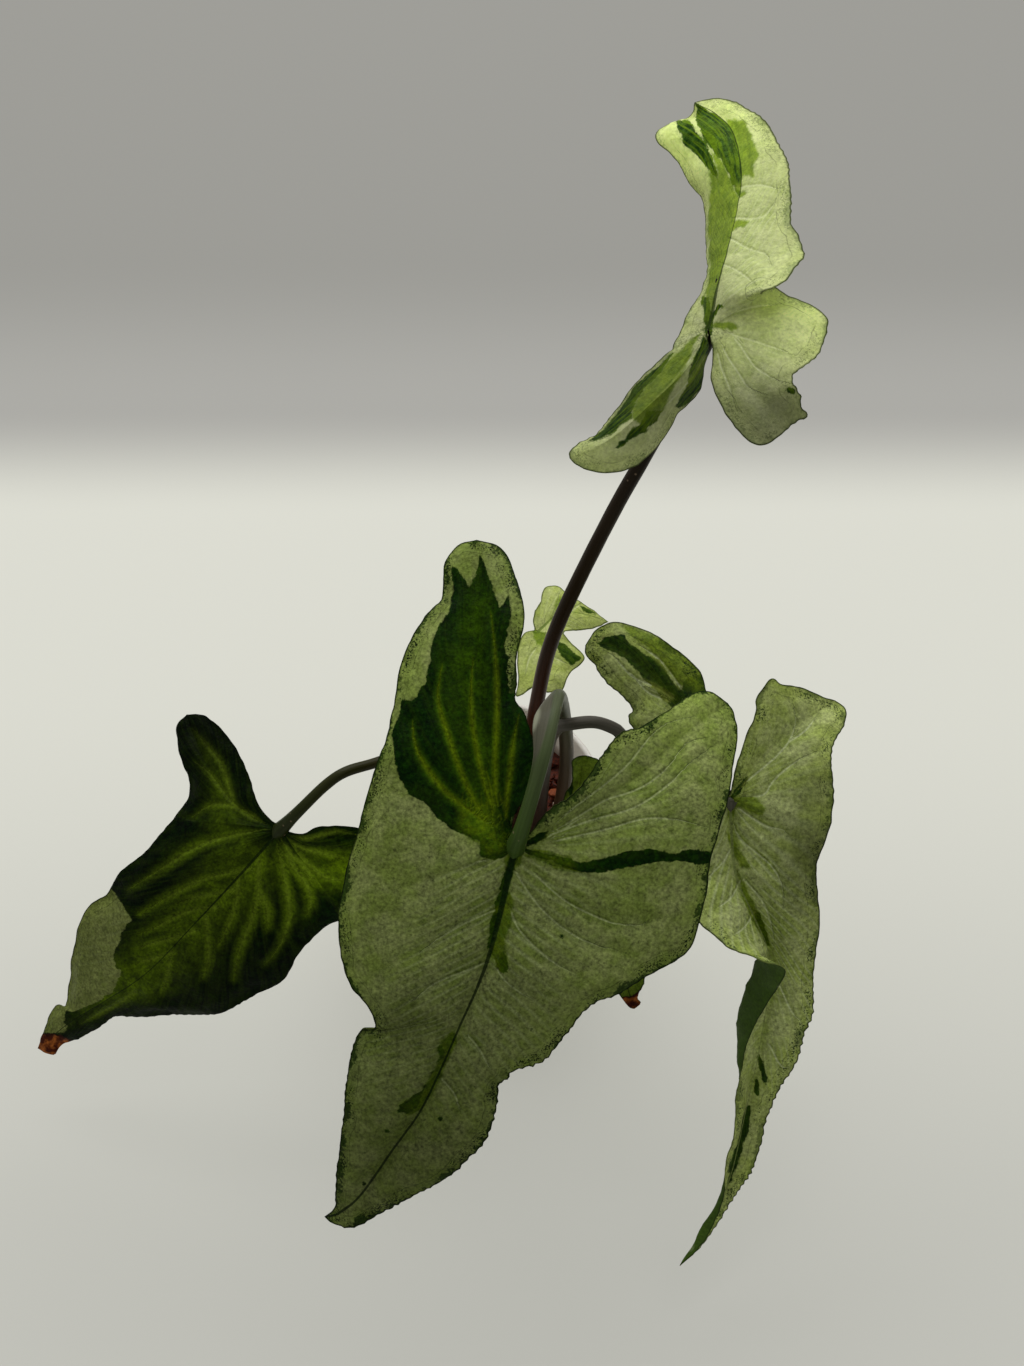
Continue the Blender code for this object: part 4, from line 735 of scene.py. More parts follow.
def along_streak(points, width, line):
    """Half the streak's local width less the distance from its line, positive on the streak."""
    spots = evenly([(*p, 0) for p in line], 24)[:, :2]
    t = np.linspace(0, 1, len(spots))
    half = width / 2 * np.sqrt(np.clip(np.minimum(t, 1 - t) * 5 + 0.15, 0, 1))
    best = np.full(len(points), -1e9)
    for spot, reach in zip(spots, half):
        best = np.maximum(best, reach - np.linalg.norm(points - spot, axis=1))
    return best


def side_veins(name, half, points):
    """The distance from each point to the nearest side vein, more at its thin end, and the same with a sign
    that tells its two sides apart."""
    nearest = np.full(len(points), 12.0)
    crossing = np.full(len(points), 3.0)
    for halves, line in SIDE_VEINS[name]:
        if half not in halves:
            continue
        spots = evenly([(*p, 0) for p in line], 20)[:, :2]
        crowded = 1.5 if np.linalg.norm(spots[0]) < 6 else 0.0
        for i, (a, b) in enumerate(zip(spots, spots[1:])):
            way = b - a
            t = np.clip(((points - a) @ way) / (way @ way), 0, 1)
            fading = 3.0 * max(0.0, i / 20 - 0.66) + crowded * max(0.0, 1 - i / 4)
            gap = np.linalg.norm(points - a - t[:, None] * way, axis=1) + fading
            side = np.sign(way[0] * (points[:, 1] - a[1]) - way[1] * (points[:, 0] - a[0]))
            closer = gap < nearest
            nearest = np.where(closer, gap, nearest)
            crossing = np.where(closer, side * np.minimum(gap, 3), crossing)
    return nearest, crossing


def painted_light_and_shade(name, points):
    """The blade's painted light and shade, with some of its own darker greens, as a factor on its colour."""
    tone = np.ones(len(points))
    for x, y, reach, factor in PAINTED_LIGHT_AND_SHADE[name]:
        away = (points[:, 0] - x) ** 2 + (points[:, 1] - y) ** 2
        tone *= 1 + (factor - 1) * np.exp(-away / reach**2)
    return tone


def marking(name, kind, half, points):
    """Signed distance into the markings of one kind on one half blade."""
    patches, streaks = PATCHES[name], STREAKS[name]
    found = np.full(len(points), -12.0)
    if kind == "deep" and half in patches.get("all", ()):
        found[:] = 12.0
        for halves, outline in patches["pale"]:
            if half in halves:
                found = np.minimum(found, -inside(points, outline))
    for halves, outline in patches.get(kind, ()):
        if half in halves:
            found = np.maximum(found, inside(points, outline))
    for halves, width, line in streaks.get(kind, ()):
        if half in halves:
            found = np.maximum(found, along_streak(points, width, line))
    return np.clip(found, -12, 12)


HALVES = (
    ("main_left", "midrib", True), ("main_right", "midrib", False),
    ("left_inner", "left_vein", True), ("left_outer", "left_vein", False),
    ("right_inner", "right_vein", False), ("right_outer", "right_vein", True),
)


def lobes_below(spec):
    """Whether the blade's tip points up or to the right as it is laid out, so that left and right swap."""
    ahead, span = Vector(spec["midrib"][1]), Vector(spec["main_left"][0])
    return ahead.x * span.y - ahead.y * span.x > 0


def half_sheets(name, spec, scale):
    """The six half sheets of a blade: their points, faces and values, before they are joined."""
    sheets = []
    offset = 0
    for seed, (half, vein, right_handed) in enumerate(HALVES):
        main = vein == "midrib"
        rows = int((MAIN_ROWS if main else LOBE_ROWS) * scale)
        columns = int(COLUMNS * scale)
        veins = evenly(spec[vein], rows)
        edges = toothed(veins, evenly(spec[half], rows), TEETH[name].get(half), seed + len(name))
        span = edges - veins
        rise = bow_line(spec.get("bows", {}).get(half), rows)
        rise[:, 2] += np.linalg.norm(span, axis=1) * spec["puff"]
        r = np.linspace(0, 1, columns + 1)
        local = veins[:, None] + span[:, None] * r[None, :, None]
        local = local + rise[:, None] * (4 * r * (1 - r))[None, :, None]
        count, sweep = PLEATS[name]["main" if main else "lobe"]
        index = offset + np.arange((rows + 1) * (columns + 1)).reshape(rows + 1, columns + 1)
        a, b = index[:-2, :-1].ravel(), index[:-2, 1:].ravel()
        d, e = index[1:-1, :-1].ravel(), index[1:-1, 1:].ravel()
        tip = np.full(columns, index[-1, 0])
        quads = np.stack([a, b, e, d], axis=1)
        caps = np.stack([index[-2, :-1], index[-2, 1:], tip], axis=1)
        if right_handed == lobes_below(spec):
            quads, caps = quads[:, ::-1], caps[:, ::-1]
        flat = local.reshape(-1, 3)
        nearest, crossing = side_veins(name, half, flat[:, :2])
        along = np.repeat(np.linspace(0, 1, rows + 1), columns + 1)
        markings = {kind: marking(name, kind, half, flat[:, :2]) for kind in ("deep", "fresh", "scorch")}
        # The tone value is the blade's painted light and shade.
        sheets.append(dict(
            half=half, points=place(spec, flat), quads=quads, caps=caps, margin=place(spec, edges),
            spine=place(spec, veins), phase=pleat_phase(rows, columns, count, sweep).ravel(), along=along,
            vein=nearest, cross=crossing, tone=painted_light_and_shade(name, flat[:, :2]),
            pleat=(1 - smooth(along, 0.35, 0.75)) * (1.0 if main else 0.35), **markings,
        ))
        offset += len(flat)
    return sheets


VALUES = ("phase", "pleat", "along", "vein", "cross", "tone",
          "deep", "fresh", "scorch", "edge", "rib", "mid")


def measure(sheets):
    """Adds each point's distances to the margin, the main veins and the midrib, and bends the pleats."""
    ribs = np.concatenate([s["spine"] for s in sheets[0::2]])
    for sheet in sheets:
        side = "left" if "left" in sheet["half"] else "right"
        margins = np.concatenate([s["margin"] for s in sheets if side in s["half"]])
        sheet["edge"] = distance_to(sheet["points"], margins)
        sheet["rib"] = distance_to(sheet["points"], ribs)
        sheet["mid"] = distance_to(sheet["points"], sheets[0]["spine"])
        sheet["phase"] = sheet["phase"] + 0.5 * rough(sheet["points"], 14.0, 6) * smooth(sheet["rib"], 0, 12)
        sheet["pleat"] = sheet["pleat"] * smooth(sheet["rib"], 0.5, 3) * (1 - smooth(sheet["rib"], 10, 30))


def join(sheets):
    """Merges the points that half sheets share, and gives points, faces and values for each face corner."""
    raw = np.concatenate([s["points"] for s in sheets])
    _, first, merged = np.unique(np.round(raw, 3), axis=0, return_index=True, return_inverse=True)
    merged = merged.ravel()
    faces = [f for s in sheets for block in (s["quads"], s["caps"]) for f in block.tolist()]
    corners = np.array([i for f in faces for i in f])
    values = {v: np.concatenate([s[v] for s in sheets]) for v in VALUES}
    return raw[first], [[int(merged[i]) for i in f] for f in faces], values, corners, first


def normals_of(points, faces):
    mesh = bpy.data.meshes.new("normals")
    mesh.from_pydata(points.tolist(), [], faces)
    found = np.empty(len(points) * 3)
    mesh.vertex_normals.foreach_get("vector", found)
    bpy.data.meshes.remove(mesh)
    return found.reshape(-1, 3)


def relief(points, value, strength):
    """How far the upper face stands out in millimetres: sunk veins, quilting between them, a wavy margin."""
    field = smooth(value["rib"], 0.4, 5.0) * smooth(value["edge"], 0.3, 6.0)
    quilt = QUILT_DEPTH * (1 - np.exp(-((value["vein"] / 3.0) ** 2))) * field
    pleats = PLEAT_DEPTH * np.cos(2 * np.pi * value["phase"]) * value["pleat"]
    grain = SWELL_DEPTH * rough(points, 19.0, 7) * smooth(value["rib"], 0, 10)
    grain += DIMPLE_DEPTH * rough(points, 5.5, 1) + GRAIN_DEPTH * rough(points, 1.8, 2)
    wave = MARGIN_WAVE_DEPTH * (1 - smooth(value["edge"], 0, 9)) * rough(points, 9.0, 3)
    thin = 1 - 0.8 * value["along"]
    trough = -MIDRIB_TROUGH * np.exp(-((value["mid"] / 1.1) ** 2)) * thin
    trough -= VEIN_TROUGH * np.exp(-((value["rib"] / 0.9) ** 2)) * thin
    room = smooth(value["rib"] + value["edge"], 0.5, 3.0)
    return strength * room * (quilt + pleats + grain + wave + trough)


def softened(ways, faces, rounds):
    """Unit directions at points, averaged with their neighbours several times."""
    corners = np.array([i for f in faces for i in f])
    owners = np.repeat(np.arange(len(faces)), [len(f) for f in faces])
    for _ in range(rounds):
        for axis in range(3):
            middle = np.bincount(owners, ways[corners, axis], len(faces))
            ways[:, axis] = np.bincount(corners, middle[owners], len(ways))
        ways /= np.maximum(np.linalg.norm(ways, axis=1), 1e-9)[:, None]
    return ways


def skin(value):
    """The blade's thickness: thin at the margin, with ribs on its lower face under the veins."""
    thick = SKIN_AT_MARGIN + (SKIN - SKIN_AT_MARGIN) * smooth(value["edge"], 0, 2)
    main = RIB_HEIGHT * np.exp(-((value["rib"] / 1.2) ** 2)) * (1 - 0.85 * value["along"])
    side = SIDE_RIB_HEIGHT * np.exp(-((value["vein"] / 0.8) ** 2)) * smooth(value["edge"], 1, 6)
    return thick + (main + side) * smooth(value["edge"], 0, 2.5)


def rim_faces(faces, count):
    """Faces that close the margin between the upper sheet and the lower one."""
    sides = [(a, b) for f in faces for a, b in zip(f, f[1:] + f[:1])]
    used = set(sides)
    return [[b, a, a + count, b + count] for a, b in sides if (b, a) not in used]


def make_blade(name, spec, scale, materials):
    """One blade as a thin closed leaf: upper face, lower face and rim."""
    sheets = half_sheets(name, spec, scale)
    measure(sheets)
    points, faces, values, corners, first = join(sheets)
    at_point = {v: values[v][first] for v in VALUES}
    out = softened(normals_of(points, faces), faces, 8)
    top = points + out * relief(points, at_point, PLEATS[name]["relief"])[:, None]
    low = top - softened(normals_of(top, faces), faces, 4) * skin(at_point)[:, None]
    count = len(points)
    under = [[i + count for i in reversed(f)] for f in faces]
    rim = rim_faces(faces, count)
    mesh = bpy.data.meshes.new(name + "_blade")
    mesh.from_pydata((np.concatenate([top, low]) * MM).tolist(), [], faces + under + rim)
    sizes = np.array([len(f) for f in faces])
    ends = np.cumsum(sizes)
    order = np.concatenate([np.arange(e - 1, e - n - 1, -1) for e, n in zip(ends, sizes)])
    for v in VALUES:
        upper = values[v][corners]
        full = np.concatenate([upper, upper[order], np.zeros(4 * len(rim))])
        mesh.attributes.new(v, "FLOAT", "CORNER").data.foreach_set("value", full.astype(np.float32))
    slots = np.concatenate([np.zeros(len(faces)), np.ones(len(under)), np.full(len(rim), 2)])
    for material in materials:
        mesh.materials.append(material)
    mesh.polygons.foreach_set("material_index", slots.astype(np.int32))
    mesh.shade_smooth()
    mesh.update()
    blade = new_object(name + "_blade", mesh)
    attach(blade, "root")
    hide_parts(name)


# Materials

def linear(colour):
    """A display colour of 0 to 255 as linear light."""
    return tuple(((c / 255 + 0.055) / 1.055) ** 2.4 if c > 10 else c / 255 / 12.92 for c in colour) + (1.0,)


class Value:
    """A number that a material works out at each point. It takes part in plain sums."""

    def __init__(self, looks, socket):
        self.looks = looks
        self.socket = socket

    def __add__(self, other):
        return self.looks.math("ADD", self, other)

    def __sub__(self, other):
        return self.looks.math("SUBTRACT", self, other)

    def __mul__(self, other):
        return self.looks.math("MULTIPLY", self, other)

    def __truediv__(self, other):
        return self.looks.math("DIVIDE", self, other)

    def __abs__(self):
        return self.looks.math("ABSOLUTE", self)


class Looks:
    """Short calls for one material's node tree. Inputs are numbers, display colours, Values or sockets."""

    def __init__(self, name):
        self.material = bpy.data.materials.new(name)
        self.material.use_nodes = True
        self.tree = self.material.node_tree
        self.tree.nodes.clear()
        self.output = self.tree.nodes.new("ShaderNodeOutputMaterial")
        place = self.tree.nodes.new("ShaderNodeTexCoord").outputs["Object"]
        self.mm = self.scaled(place, 1 / MM)

    def put(self, kind, settings, inputs):
        node = self.tree.nodes.new(kind)
        for key, value in settings.items():
            setattr(node, key, value)
        for key, value in inputs.items():
            if isinstance(value, Value):
                value = value.socket
            if isinstance(value, bpy.types.NodeSocket):
                self.tree.links.new(value, node.inputs[key])
            elif isinstance(value, tuple) and len(value) == 3 and node.inputs[key].type == "RGBA":
                node.inputs[key].default_value = linear(value)
            else:
                node.inputs[key].default_value = value
        return node

    def math(self, operation, a, b=0.0):
        node = self.put("ShaderNodeMath", dict(operation=operation), {0: a, 1: b})
        return Value(self, node.outputs[0])

    def value(self, name):
        """The mesh's own value of that name."""
        return Value(self, self.put("ShaderNodeAttribute", dict(attribute_name=name), {}).outputs["Fac"])

    def axis(self, name):
        """The place along X, Y or Z in millimetres."""
        return Value(self, self.put("ShaderNodeSeparateXYZ", {}, {0: self.mm}).outputs[name])

    def point(self, x, y, z):
        return self.put("ShaderNodeCombineXYZ", {}, {0: x, 1: y, 2: z}).outputs[0]

    def scaled(self, vector, factor):
        node = self.put("ShaderNodeVectorMath", dict(operation="SCALE"), {0: vector, "Scale": factor})
        return node.outputs[0]

    def step(self, value, low, high):
        """0 at low and 1 at high with an S curve between. Low may be the larger."""
        node = self.put("ShaderNodeMapRange", dict(interpolation_type="SMOOTHSTEP", clamp=True),
                        {"Value": value, "From Min": low, "From Max": high})
        return Value(self, node.outputs["Result"])

    def blend(self, factor, a, b):
        """The number a where the factor is 0 and b where it is 1."""
        node = self.put("ShaderNodeMix", dict(data_type="FLOAT"), {0: factor, 2: a, 3: b})
        return Value(self, node.outputs[0])

    def mix(self, factor, a, b, blend="MIX"):
        """The colour a where the factor is 0 and b where it is 1."""
        node = self.put("ShaderNodeMix", dict(data_type="RGBA", blend_type=blend, clamp_factor=True),
                        {"Factor": factor, 6: a, 7: b})
        return node.outputs[2]

    def over(self, colour, *layers):
        """The colour with layers of (mask, strength, colour) laid over it in turn."""
        for mask, strength, layer in layers:
            colour = self.mix(mask * strength, colour, layer)
        return colour

    def noise(self, size, detail=2.0, roughness=0.5, at=None):
        node = self.put("ShaderNodeTexNoise", {}, {"Vector": at or self.mm, "Scale": 1 / size,
                                                   "Detail": detail, "Roughness": roughness})
        return Value(self, node.outputs["Fac"])

    def cells(self, size):
        """The distance to the nearest of scattered spots."""
        node = self.put("ShaderNodeTexVoronoi", dict(feature="F1"), {"Vector": self.mm, "Scale": 1 / size})
        return Value(self, node.outputs["Distance"])

    def bump(self, height, depth):
        return self.put("ShaderNodeBump", {}, {"Height": height, "Distance": depth * MM}).outputs["Normal"]

    def finish(self, surface):
        self.tree.links.new(surface, self.output.inputs["Surface"])
        return self.material

    def finish_lit(self, face, share, inputs):
        """Ends the material with a share of light that passes through it, with inputs for that light."""
        through = self.put("ShaderNodeBsdfTranslucent", {}, inputs)
        both = self.put("ShaderNodeMixShader", {}, {"Fac": share, 1: face.outputs[0], 2: through.outputs[0]})
        return self.finish(both.outputs[0])


def leaf_surface(k, look, colour, roughness, normal):
    """A satin leaf that lets some light through, yellower than what it reflects."""
    face = k.put("ShaderNodeBsdfPrincipled", {}, {"Base Color": colour, "Roughness": roughness,
                                                  "Normal": normal, "Specular IOR Level": look["gloss"]})
    glow = k.mix(0.55, colour, k.mix(1.0, colour, (255, 255, 165), "MULTIPLY"))
    return k.finish_lit(face, look["light"], {"Color": glow, "Normal": normal})


def mottled(k, colour, strength):
    """The colour made unevenly lighter and darker, from broad clouds down to a fine grain, and multiplied by
    the blade's tone, its painted light and shade.
    """
    factor = 1.0
    for size, share in ((26, 0.4), (8, 0.45), (2.4, 0.9), (0.9, 1.9)):
        factor = (k.noise(size, 2, 0.6) - 0.5) * (share * strength) + factor
    return k.scaled(colour, factor * k.value("tone"))


def blade_fields(k, look):
    """What a blade's colours are made from: the mesh's values, noise, and the veins, pleats and markings."""
    f = SimpleNamespace(**{v: k.value(v) for v in ("phase", "edge", "rib", "vein")})
    f.cloud, f.mid, f.fine = k.noise(8, 3, 0.6), k.noise(2.6, 3, 0.6), k.noise(0.8, 2, 0.6)
    near = abs(k.math("FRACT", f.phase + 0.5) - 0.5)
    f.pleat = k.step(near, 0.3, 0.0) * k.value("pleat") * (k.step(f.cloud, 0.35, 0.6) * 0.7 + 0.3)
    crossing = abs(k.value("cross"))
    f.line = k.step(crossing, 0.42, 0.08) * k.step(f.vein, 1.3, 0.5)
    f.soft_line = k.step(crossing, 1.5, 0.0) * k.step(f.vein, 2.0, 0.6)
    f.groove = k.step(crossing, 0.9, 0.0) * k.step(f.vein, 1.6, 0.7)
    along_veins = (f.rib * 0.9, f.phase * 0.35) if look["lengthwise"] else (f.phase * 1.7, f.rib * 0.09)
    f.grain = k.noise(1.0, 3, 0.65, at=k.point(*along_veins, 0.0))

    # Uneven borders of the markings, drawn out along the side veins
    ragged = k.noise(3.5, 4, 0.65) * 2.4 - 1.2 + (f.grain * 1.2 - 0.6)
    f.deep = k.step(k.value("deep") + ragged, -0.22, 0.22)
    green = k.value("fresh") + ragged
    f.fresh = k.blend(f.deep, k.step(green, -0.5, 0.5), k.step(green, -1.5, 4.0))
    return f


def pale_colour(k, look, f):
    """The pale ground of a blade, greener along its margin, with painted shade along its sunken veins."""
    green = look["fresh"][1]
    green_margin = k.step(f.edge, 6.0, 0.3) * k.step(k.noise(6, 3), 0.4, 0.65)
    return k.over(
        k.mix(k.step(f.cloud, 0.35, 0.65), *look["pale"]),
        (k.step(f.mid, 0.45, 0.75), 0.25, green),
        (k.step(f.edge, 9.0, 0.5), 0.45, look["margin"]),
        (green_margin, 0.42 * look["stain"], green),
        # Painted shade: a soft darker green band beside the sunken side veins.
        (k.step(f.vein, 2.4, 0.4), 0.16, green),
        (f.pleat, 0.4, look["vein"]),
        (f.line, 0.6, look["vein"]),
    )


def dark_colour(k, look, f):
    """The dark markings, which glow along their side veins and near the main veins."""
    lit = k.step(f.vein, look["glow_reach"], 0.0) * k.step(f.edge, 1.0, 12.0) * (f.grain * 0.9 + 0.25)
    uneven = (k.step(k.noise(5, 3), 0.3, 0.7) * 0.45 + 0.2) * look["heart"]
    heart = k.step(f.rib, 16.0, 1.0) * k.step(f.edge, 3.0, 14.0) * uneven
    return k.over(
        k.mix(k.step(k.noise(1.5, 4, 0.65), 0.35, 0.7), *look["deep"]),
        (k.math("MAXIMUM", lit, heart), 1.0, look["glow"]),
        (f.soft_line, 0.6, look["line"]),
        (f.line, 0.3, look["line"]),
        (k.step(f.fine, 0.5, 0.75), 0.4, look["deep"][0]),
        (k.step(f.grain, 0.42, 0.62), look["streaks"], look["fresh"][1]),
    )


def bright_colour(k, look, f):
    """The fresh green markings, with darker fibres."""
    return k.over(
        k.mix(k.step(f.mid, 0.3, 0.7), *look["fresh"]),
        (k.step(f.grain, 0.5, 0.7), 0.35, look["deep"][1]),
        (f.line, 0.5, look["line"]),
    )


def margin_layers(k, look, f):
    """The margin's dark stain, specks in a band inside it and a few stray ones, the thin vein that runs
    inside the margin, the dark line of the margin itself, and the midrib."""
    reach = k.noise(10, 4, 0.7) * 11.0 - 4.6
    stain = k.step(f.fine * 5.0 + f.edge - reach, 2.9, 1.7)
    band = k.step(f.edge, 0.3, 1.4) * k.step(f.edge, 6.5, 1.2)
    cluster = band * k.step(k.noise(9, 2), 0.38, 0.6)
    specks = k.step(k.noise(0.5, 3, 0.7) + cluster * 0.2, 0.7, 0.73) * k.step(band, 0.0, 0.2)
    stray = k.step(k.cells(4.5), 0.10, 0.05) * k.step(k.noise(14, 1), 0.5, 0.6)
    ring = abs(f.edge - (k.noise(9, 2) * 3.0 + 2.0))
    ring = k.step(ring, 0.22, 0.05) * k.step(k.noise(6, 1), 0.35, 0.6)
    width = (k.step(k.value("along"), 0.45, 0.0) * 0.75 + 0.35) * look["thick"]
    return (
        (stain, look["stain"], look["deep"][1]),
        (k.math("MAXIMUM", specks, stray * 0.5), look["speckles"], look["speck"]),
        (ring, 0.4, look["rim"]),
        (k.step(f.edge, 0.6, 0.2), 0.85, look["rim"]),
        (k.step(k.value("mid") / width, 1.0, 0.6), 0.85, look["spine"]),
    )


def scorched(k, colour):
    """The colour with its dried-out parts turned brown."""
    burnt = k.value("scorch") + (k.noise(2, 3) * 2.0 - 1.0)
    brown = k.mix(k.step(k.noise(2.2, 3), 0.4, 0.65), (66, 22, 8), (150, 84, 34))
    brown = k.mix(k.step(burnt, 1.2, 0.2), brown, (40, 14, 6))
    return k.mix(k.step(burnt, -0.1, 0.2), colour, brown)


def upper_face(name, look):
    """The marked upper side."""
    k = Looks(name + "_upper")
    f = blade_fields(k, look)
    colour = k.mix(f.deep, pale_colour(k, look, f), dark_colour(k, look, f))
    colour = k.over(colour, (f.fresh, 0.9, bright_colour(k, look, f)), *margin_layers(k, look, f))
    colour = mottled(k, scorched(k, colour), look["mottle"])
    height = f.mid * 0.7 + f.grain * 0.5 + f.fine * 0.7 - f.groove * 0.9 - f.pleat * 0.6
    return leaf_surface(k, look, colour, k.noise(6, 3) * 0.3 + 0.35, k.bump(height, 0.3))


def lower_face(name, look):
    """The paler, duller underside, where the markings show through."""
    k = Looks(name + "_lower")
    edge = k.value("edge")
    deep = k.step(k.value("deep") + (k.noise(2.4, 4) * 3.4 - 1.7), -0.4, 0.4)
    raised = k.step(k.value("rib"), 1.6, 0.5) * k.step(edge, 1.0, 3.0)
    colour = k.over(
        k.mix(k.noise(18, 3), *look["under"]),
        (deep, 0.75, k.mix(0.45, look["deep"][1], look["under"][1])),
        (k.step(k.value("vein"), 1.0, 0.3), 0.45, look["vein"]),
        (raised, 0.6, look["vein"]),
        (k.step(edge, 0.7, 0.2), 0.6, look["rim"]),
        (k.step(k.value("scorch"), -0.2, 0.3), 1.0, (92, 48, 20)),
    )
    fine = k.noise(0.6, 3, 0.6)
    colour = mottled(k, colour, 0.6 * look["mottle"])
    return leaf_surface(k, look, colour, fine * 0.15 + 0.5, k.bump(fine, 0.15))


def rim_face(name, look):
    k = Looks(name + "_rim")
    colour = k.mix(k.noise(1.6, 2), look["rim"], look["pale"][1])
    return leaf_surface(k, look, colour, 0.5, k.bump(k.noise(0.5), 0.05))


# Stalks

# Colours of each stalk at the blade, in the middle and at the foot.
STALK_LOOKS = {
    "stalk_tall": ((8, 9, 2), (34, 24, 9), (84, 40, 24)),
    # stalk_front's middle and foot are its own olive-brown, darkened as painted shade along its rising part.
    "stalk_front": ((54, 76, 24), (78, 82, 62), (76, 56, 40)),
    "stalk_left": ((34, 42, 10), (46, 42, 20), (56, 40, 28)),
    "stalk_right": ((84, 82, 70), (80, 76, 68), (60, 46, 38)),
    "stalk_young": ((126, 148, 52), (118, 136, 50), (96, 92, 44)),
    "stalk_low": ((84, 104, 34), (80, 92, 36), (72, 62, 36)),
}


def stalk_material(name):
    """A fleshy stalk, coloured at the blade, in the middle and at the foot, with streaks and small scars."""
    top, middle, foot = STALK_LOOKS[name]
    k = Looks(name + "_skin")
    along, wing, angle = k.value("along"), k.value("wing"), k.value("round") * math.tau
    lines = k.point(k.math("COSINE", angle) * 2.2, k.math("SINE", angle) * 2.2, along * 5.0)
    streak = k.noise(1.0, 4, 0.6, at=lines)
    colour = k.mix(k.step(along, 0.15, 0.55), foot, middle)
    colour = k.over(
        k.mix(k.step(along, 0.6, 1.0), colour, top),
        (k.step(wing, 0.15, 0.8), 0.75, (88, 84, 72)),
        (k.step(wing, 2.1, 2.7), 0.8, (150, 152, 130)),
    )
    scars = k.step(k.cells(3.4), 0.14, 0.06) * k.step(k.noise(9, 1), 0.52, 0.6)
    colour = k.over(k.scaled(colour, streak * 1.6 + 0.2), (scars, 0.45, (150, 128, 104)))
    height = streak + k.noise(0.6, 2) * 0.4
    face = k.put("ShaderNodeBsdfPrincipled", {}, {"Base Color": colour, "Roughness": streak * 0.2 + 0.3,
                                                  "Normal": k.bump(height, 0.12), "Specular IOR Level": 0.1})
    return k.finish(face.outputs[0])


STALK_SIDES = 28
FOOT_SWELL = 0.35
FOOT_SWELL_REACH = 14
END_SWELL_REACH = 6

# Stalks whose ends show on the blade: they swell more and end closer behind it.
SHOWN_ENDS = ("stalk_front", "stalk_left", "stalk_right")
SHOWN_END_SWELL = 0.6
HIDDEN_END_SWELL = 0.15

# How thick a stalk still is, against its end, where it runs out under the midrib.
FADING = (1.0, 0.65, 0.4, 0.2)

# A thin pale sheath beside a stalk: where it is widest, its width, and how far it runs.
SHEATHS = {"stalk_front": ((19, -46, 173), 3.0, 9.0)}


def tube(points, radii, wings):
    """Rings of points round a route, carried along it without twist, with a thin wing on their left side."""
    points = [Vector(p) for p in points]
    heading = (points[1] - points[0]).normalized()
    side = heading.cross(Vector((0, 1, 0))).normalized()
    rings = []
    for i, (point, radius, wing) in enumerate(zip(points, radii, wings)):
        ahead = points[min(i + 1, len(points) - 1)] - points[max(i - 1, 0)]
        ahead.normalize()
        side = (side - ahead * side.dot(ahead)).normalized()
        up = ahead.cross(side)
        ring = []
        for s in range(STALK_SIDES):
            angle = math.tau * s / STALK_SIDES
            across = math.cos(angle) * radius + max(0.0, math.cos(angle)) ** 3 * wing
            ring.append(point + side * across + up * (math.sin(angle) * radius))
        rings.append(ring)
    return rings


def stalk_course(name, foot, top, route, spec):
    """A stalk's route, radii and wing widths: a swollen foot, and an end that runs out under the midrib."""
    shows = name in SHOWN_ENDS
    end = Vector(spec["junction"]) + SIGHT * (0.5 * top if shows else 1.3 * top + 0.3)
    points = evenly(route + [tuple(end)], 10 * len(route))[5:]
    radii = foot + (top - foot) * np.linspace(0, 1, len(points))
    to_end = np.linalg.norm(points - np.array(end), axis=1)
    radii *= 1 + (SHOWN_END_SWELL if shows else HIDDEN_END_SWELL) * np.exp(-to_end / END_SWELL_REACH)
    radii *= 1 + FOOT_SWELL * np.exp(-np.clip(points[:, 2] - MIX_TOP, 0, None) / FOOT_SWELL_REACH)
    radii += 0.05 * rough(points, 6, 4)
    midrib = place(spec, evenly(spec["midrib"], 40))
    fading = top * np.array(FADING)
    points = np.concatenate([points, midrib[1:9:2] + np.array(SIGHT) * (fading + 0.9)[:, None]])
    radii = np.concatenate([radii, fading])
    wings = np.zeros(len(points))
    if name in SHEATHS:
        spot, width, reach = SHEATHS[name]
        wings = width * np.exp(-(np.linalg.norm(points - np.array(spot), axis=1) / reach) ** 2)
    return points, radii, wings


def make_stalk(name, foot, top, route, blade_name):
    points, radii, wings = stalk_course(name, foot, top, route, BLADES[blade_name])
    rings = tube(points, radii, wings)
    total = len(rings)
    faces = []
    along, around, thin = [], [], []
    for i in range(total - 1):
        for s in range(STALK_SIDES):
            corners = ((s, i), (s + 1, i), (s + 1, i + 1), (s, i + 1))
            faces.append([r * STALK_SIDES + c % STALK_SIDES for c, r in corners])
            along += [r / total for _, r in corners]
            around += [c / STALK_SIDES for c, _ in corners]
            thin += [max(0.0, math.cos(math.tau * c / STALK_SIDES)) * wings[r] for c, r in corners]
    for end, way in ((0, -1), (total - 1, 1)):
        faces.append([end * STALK_SIDES + s for s in range(STALK_SIDES)][::way])
        along += [end / total] * STALK_SIDES
        around += [0.0] * STALK_SIDES
        thin += [0.0] * STALK_SIDES
    mesh = bpy.data.meshes.new(name + "_skin")
    mesh.from_pydata([tuple(p * MM) for ring in rings for p in ring], [], faces)
    for label, numbers in (("along", along), ("round", around), ("wing", thin)):
        mesh.attributes.new(label, "FLOAT", "CORNER").data.foreach_set("value", numbers)
    mesh.materials.append(stalk_material(name))
    mesh.shade_smooth()
    stalk = new_object(name + "_skin", mesh)
    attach(stalk, "root")
    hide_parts(name)


# Pot and potting mix

def wall_radius(z):
    return POT_BASE_RADIUS + (POT_TOP_RADIUS - POT_BASE_RADIUS) * z / POT_HEIGHT


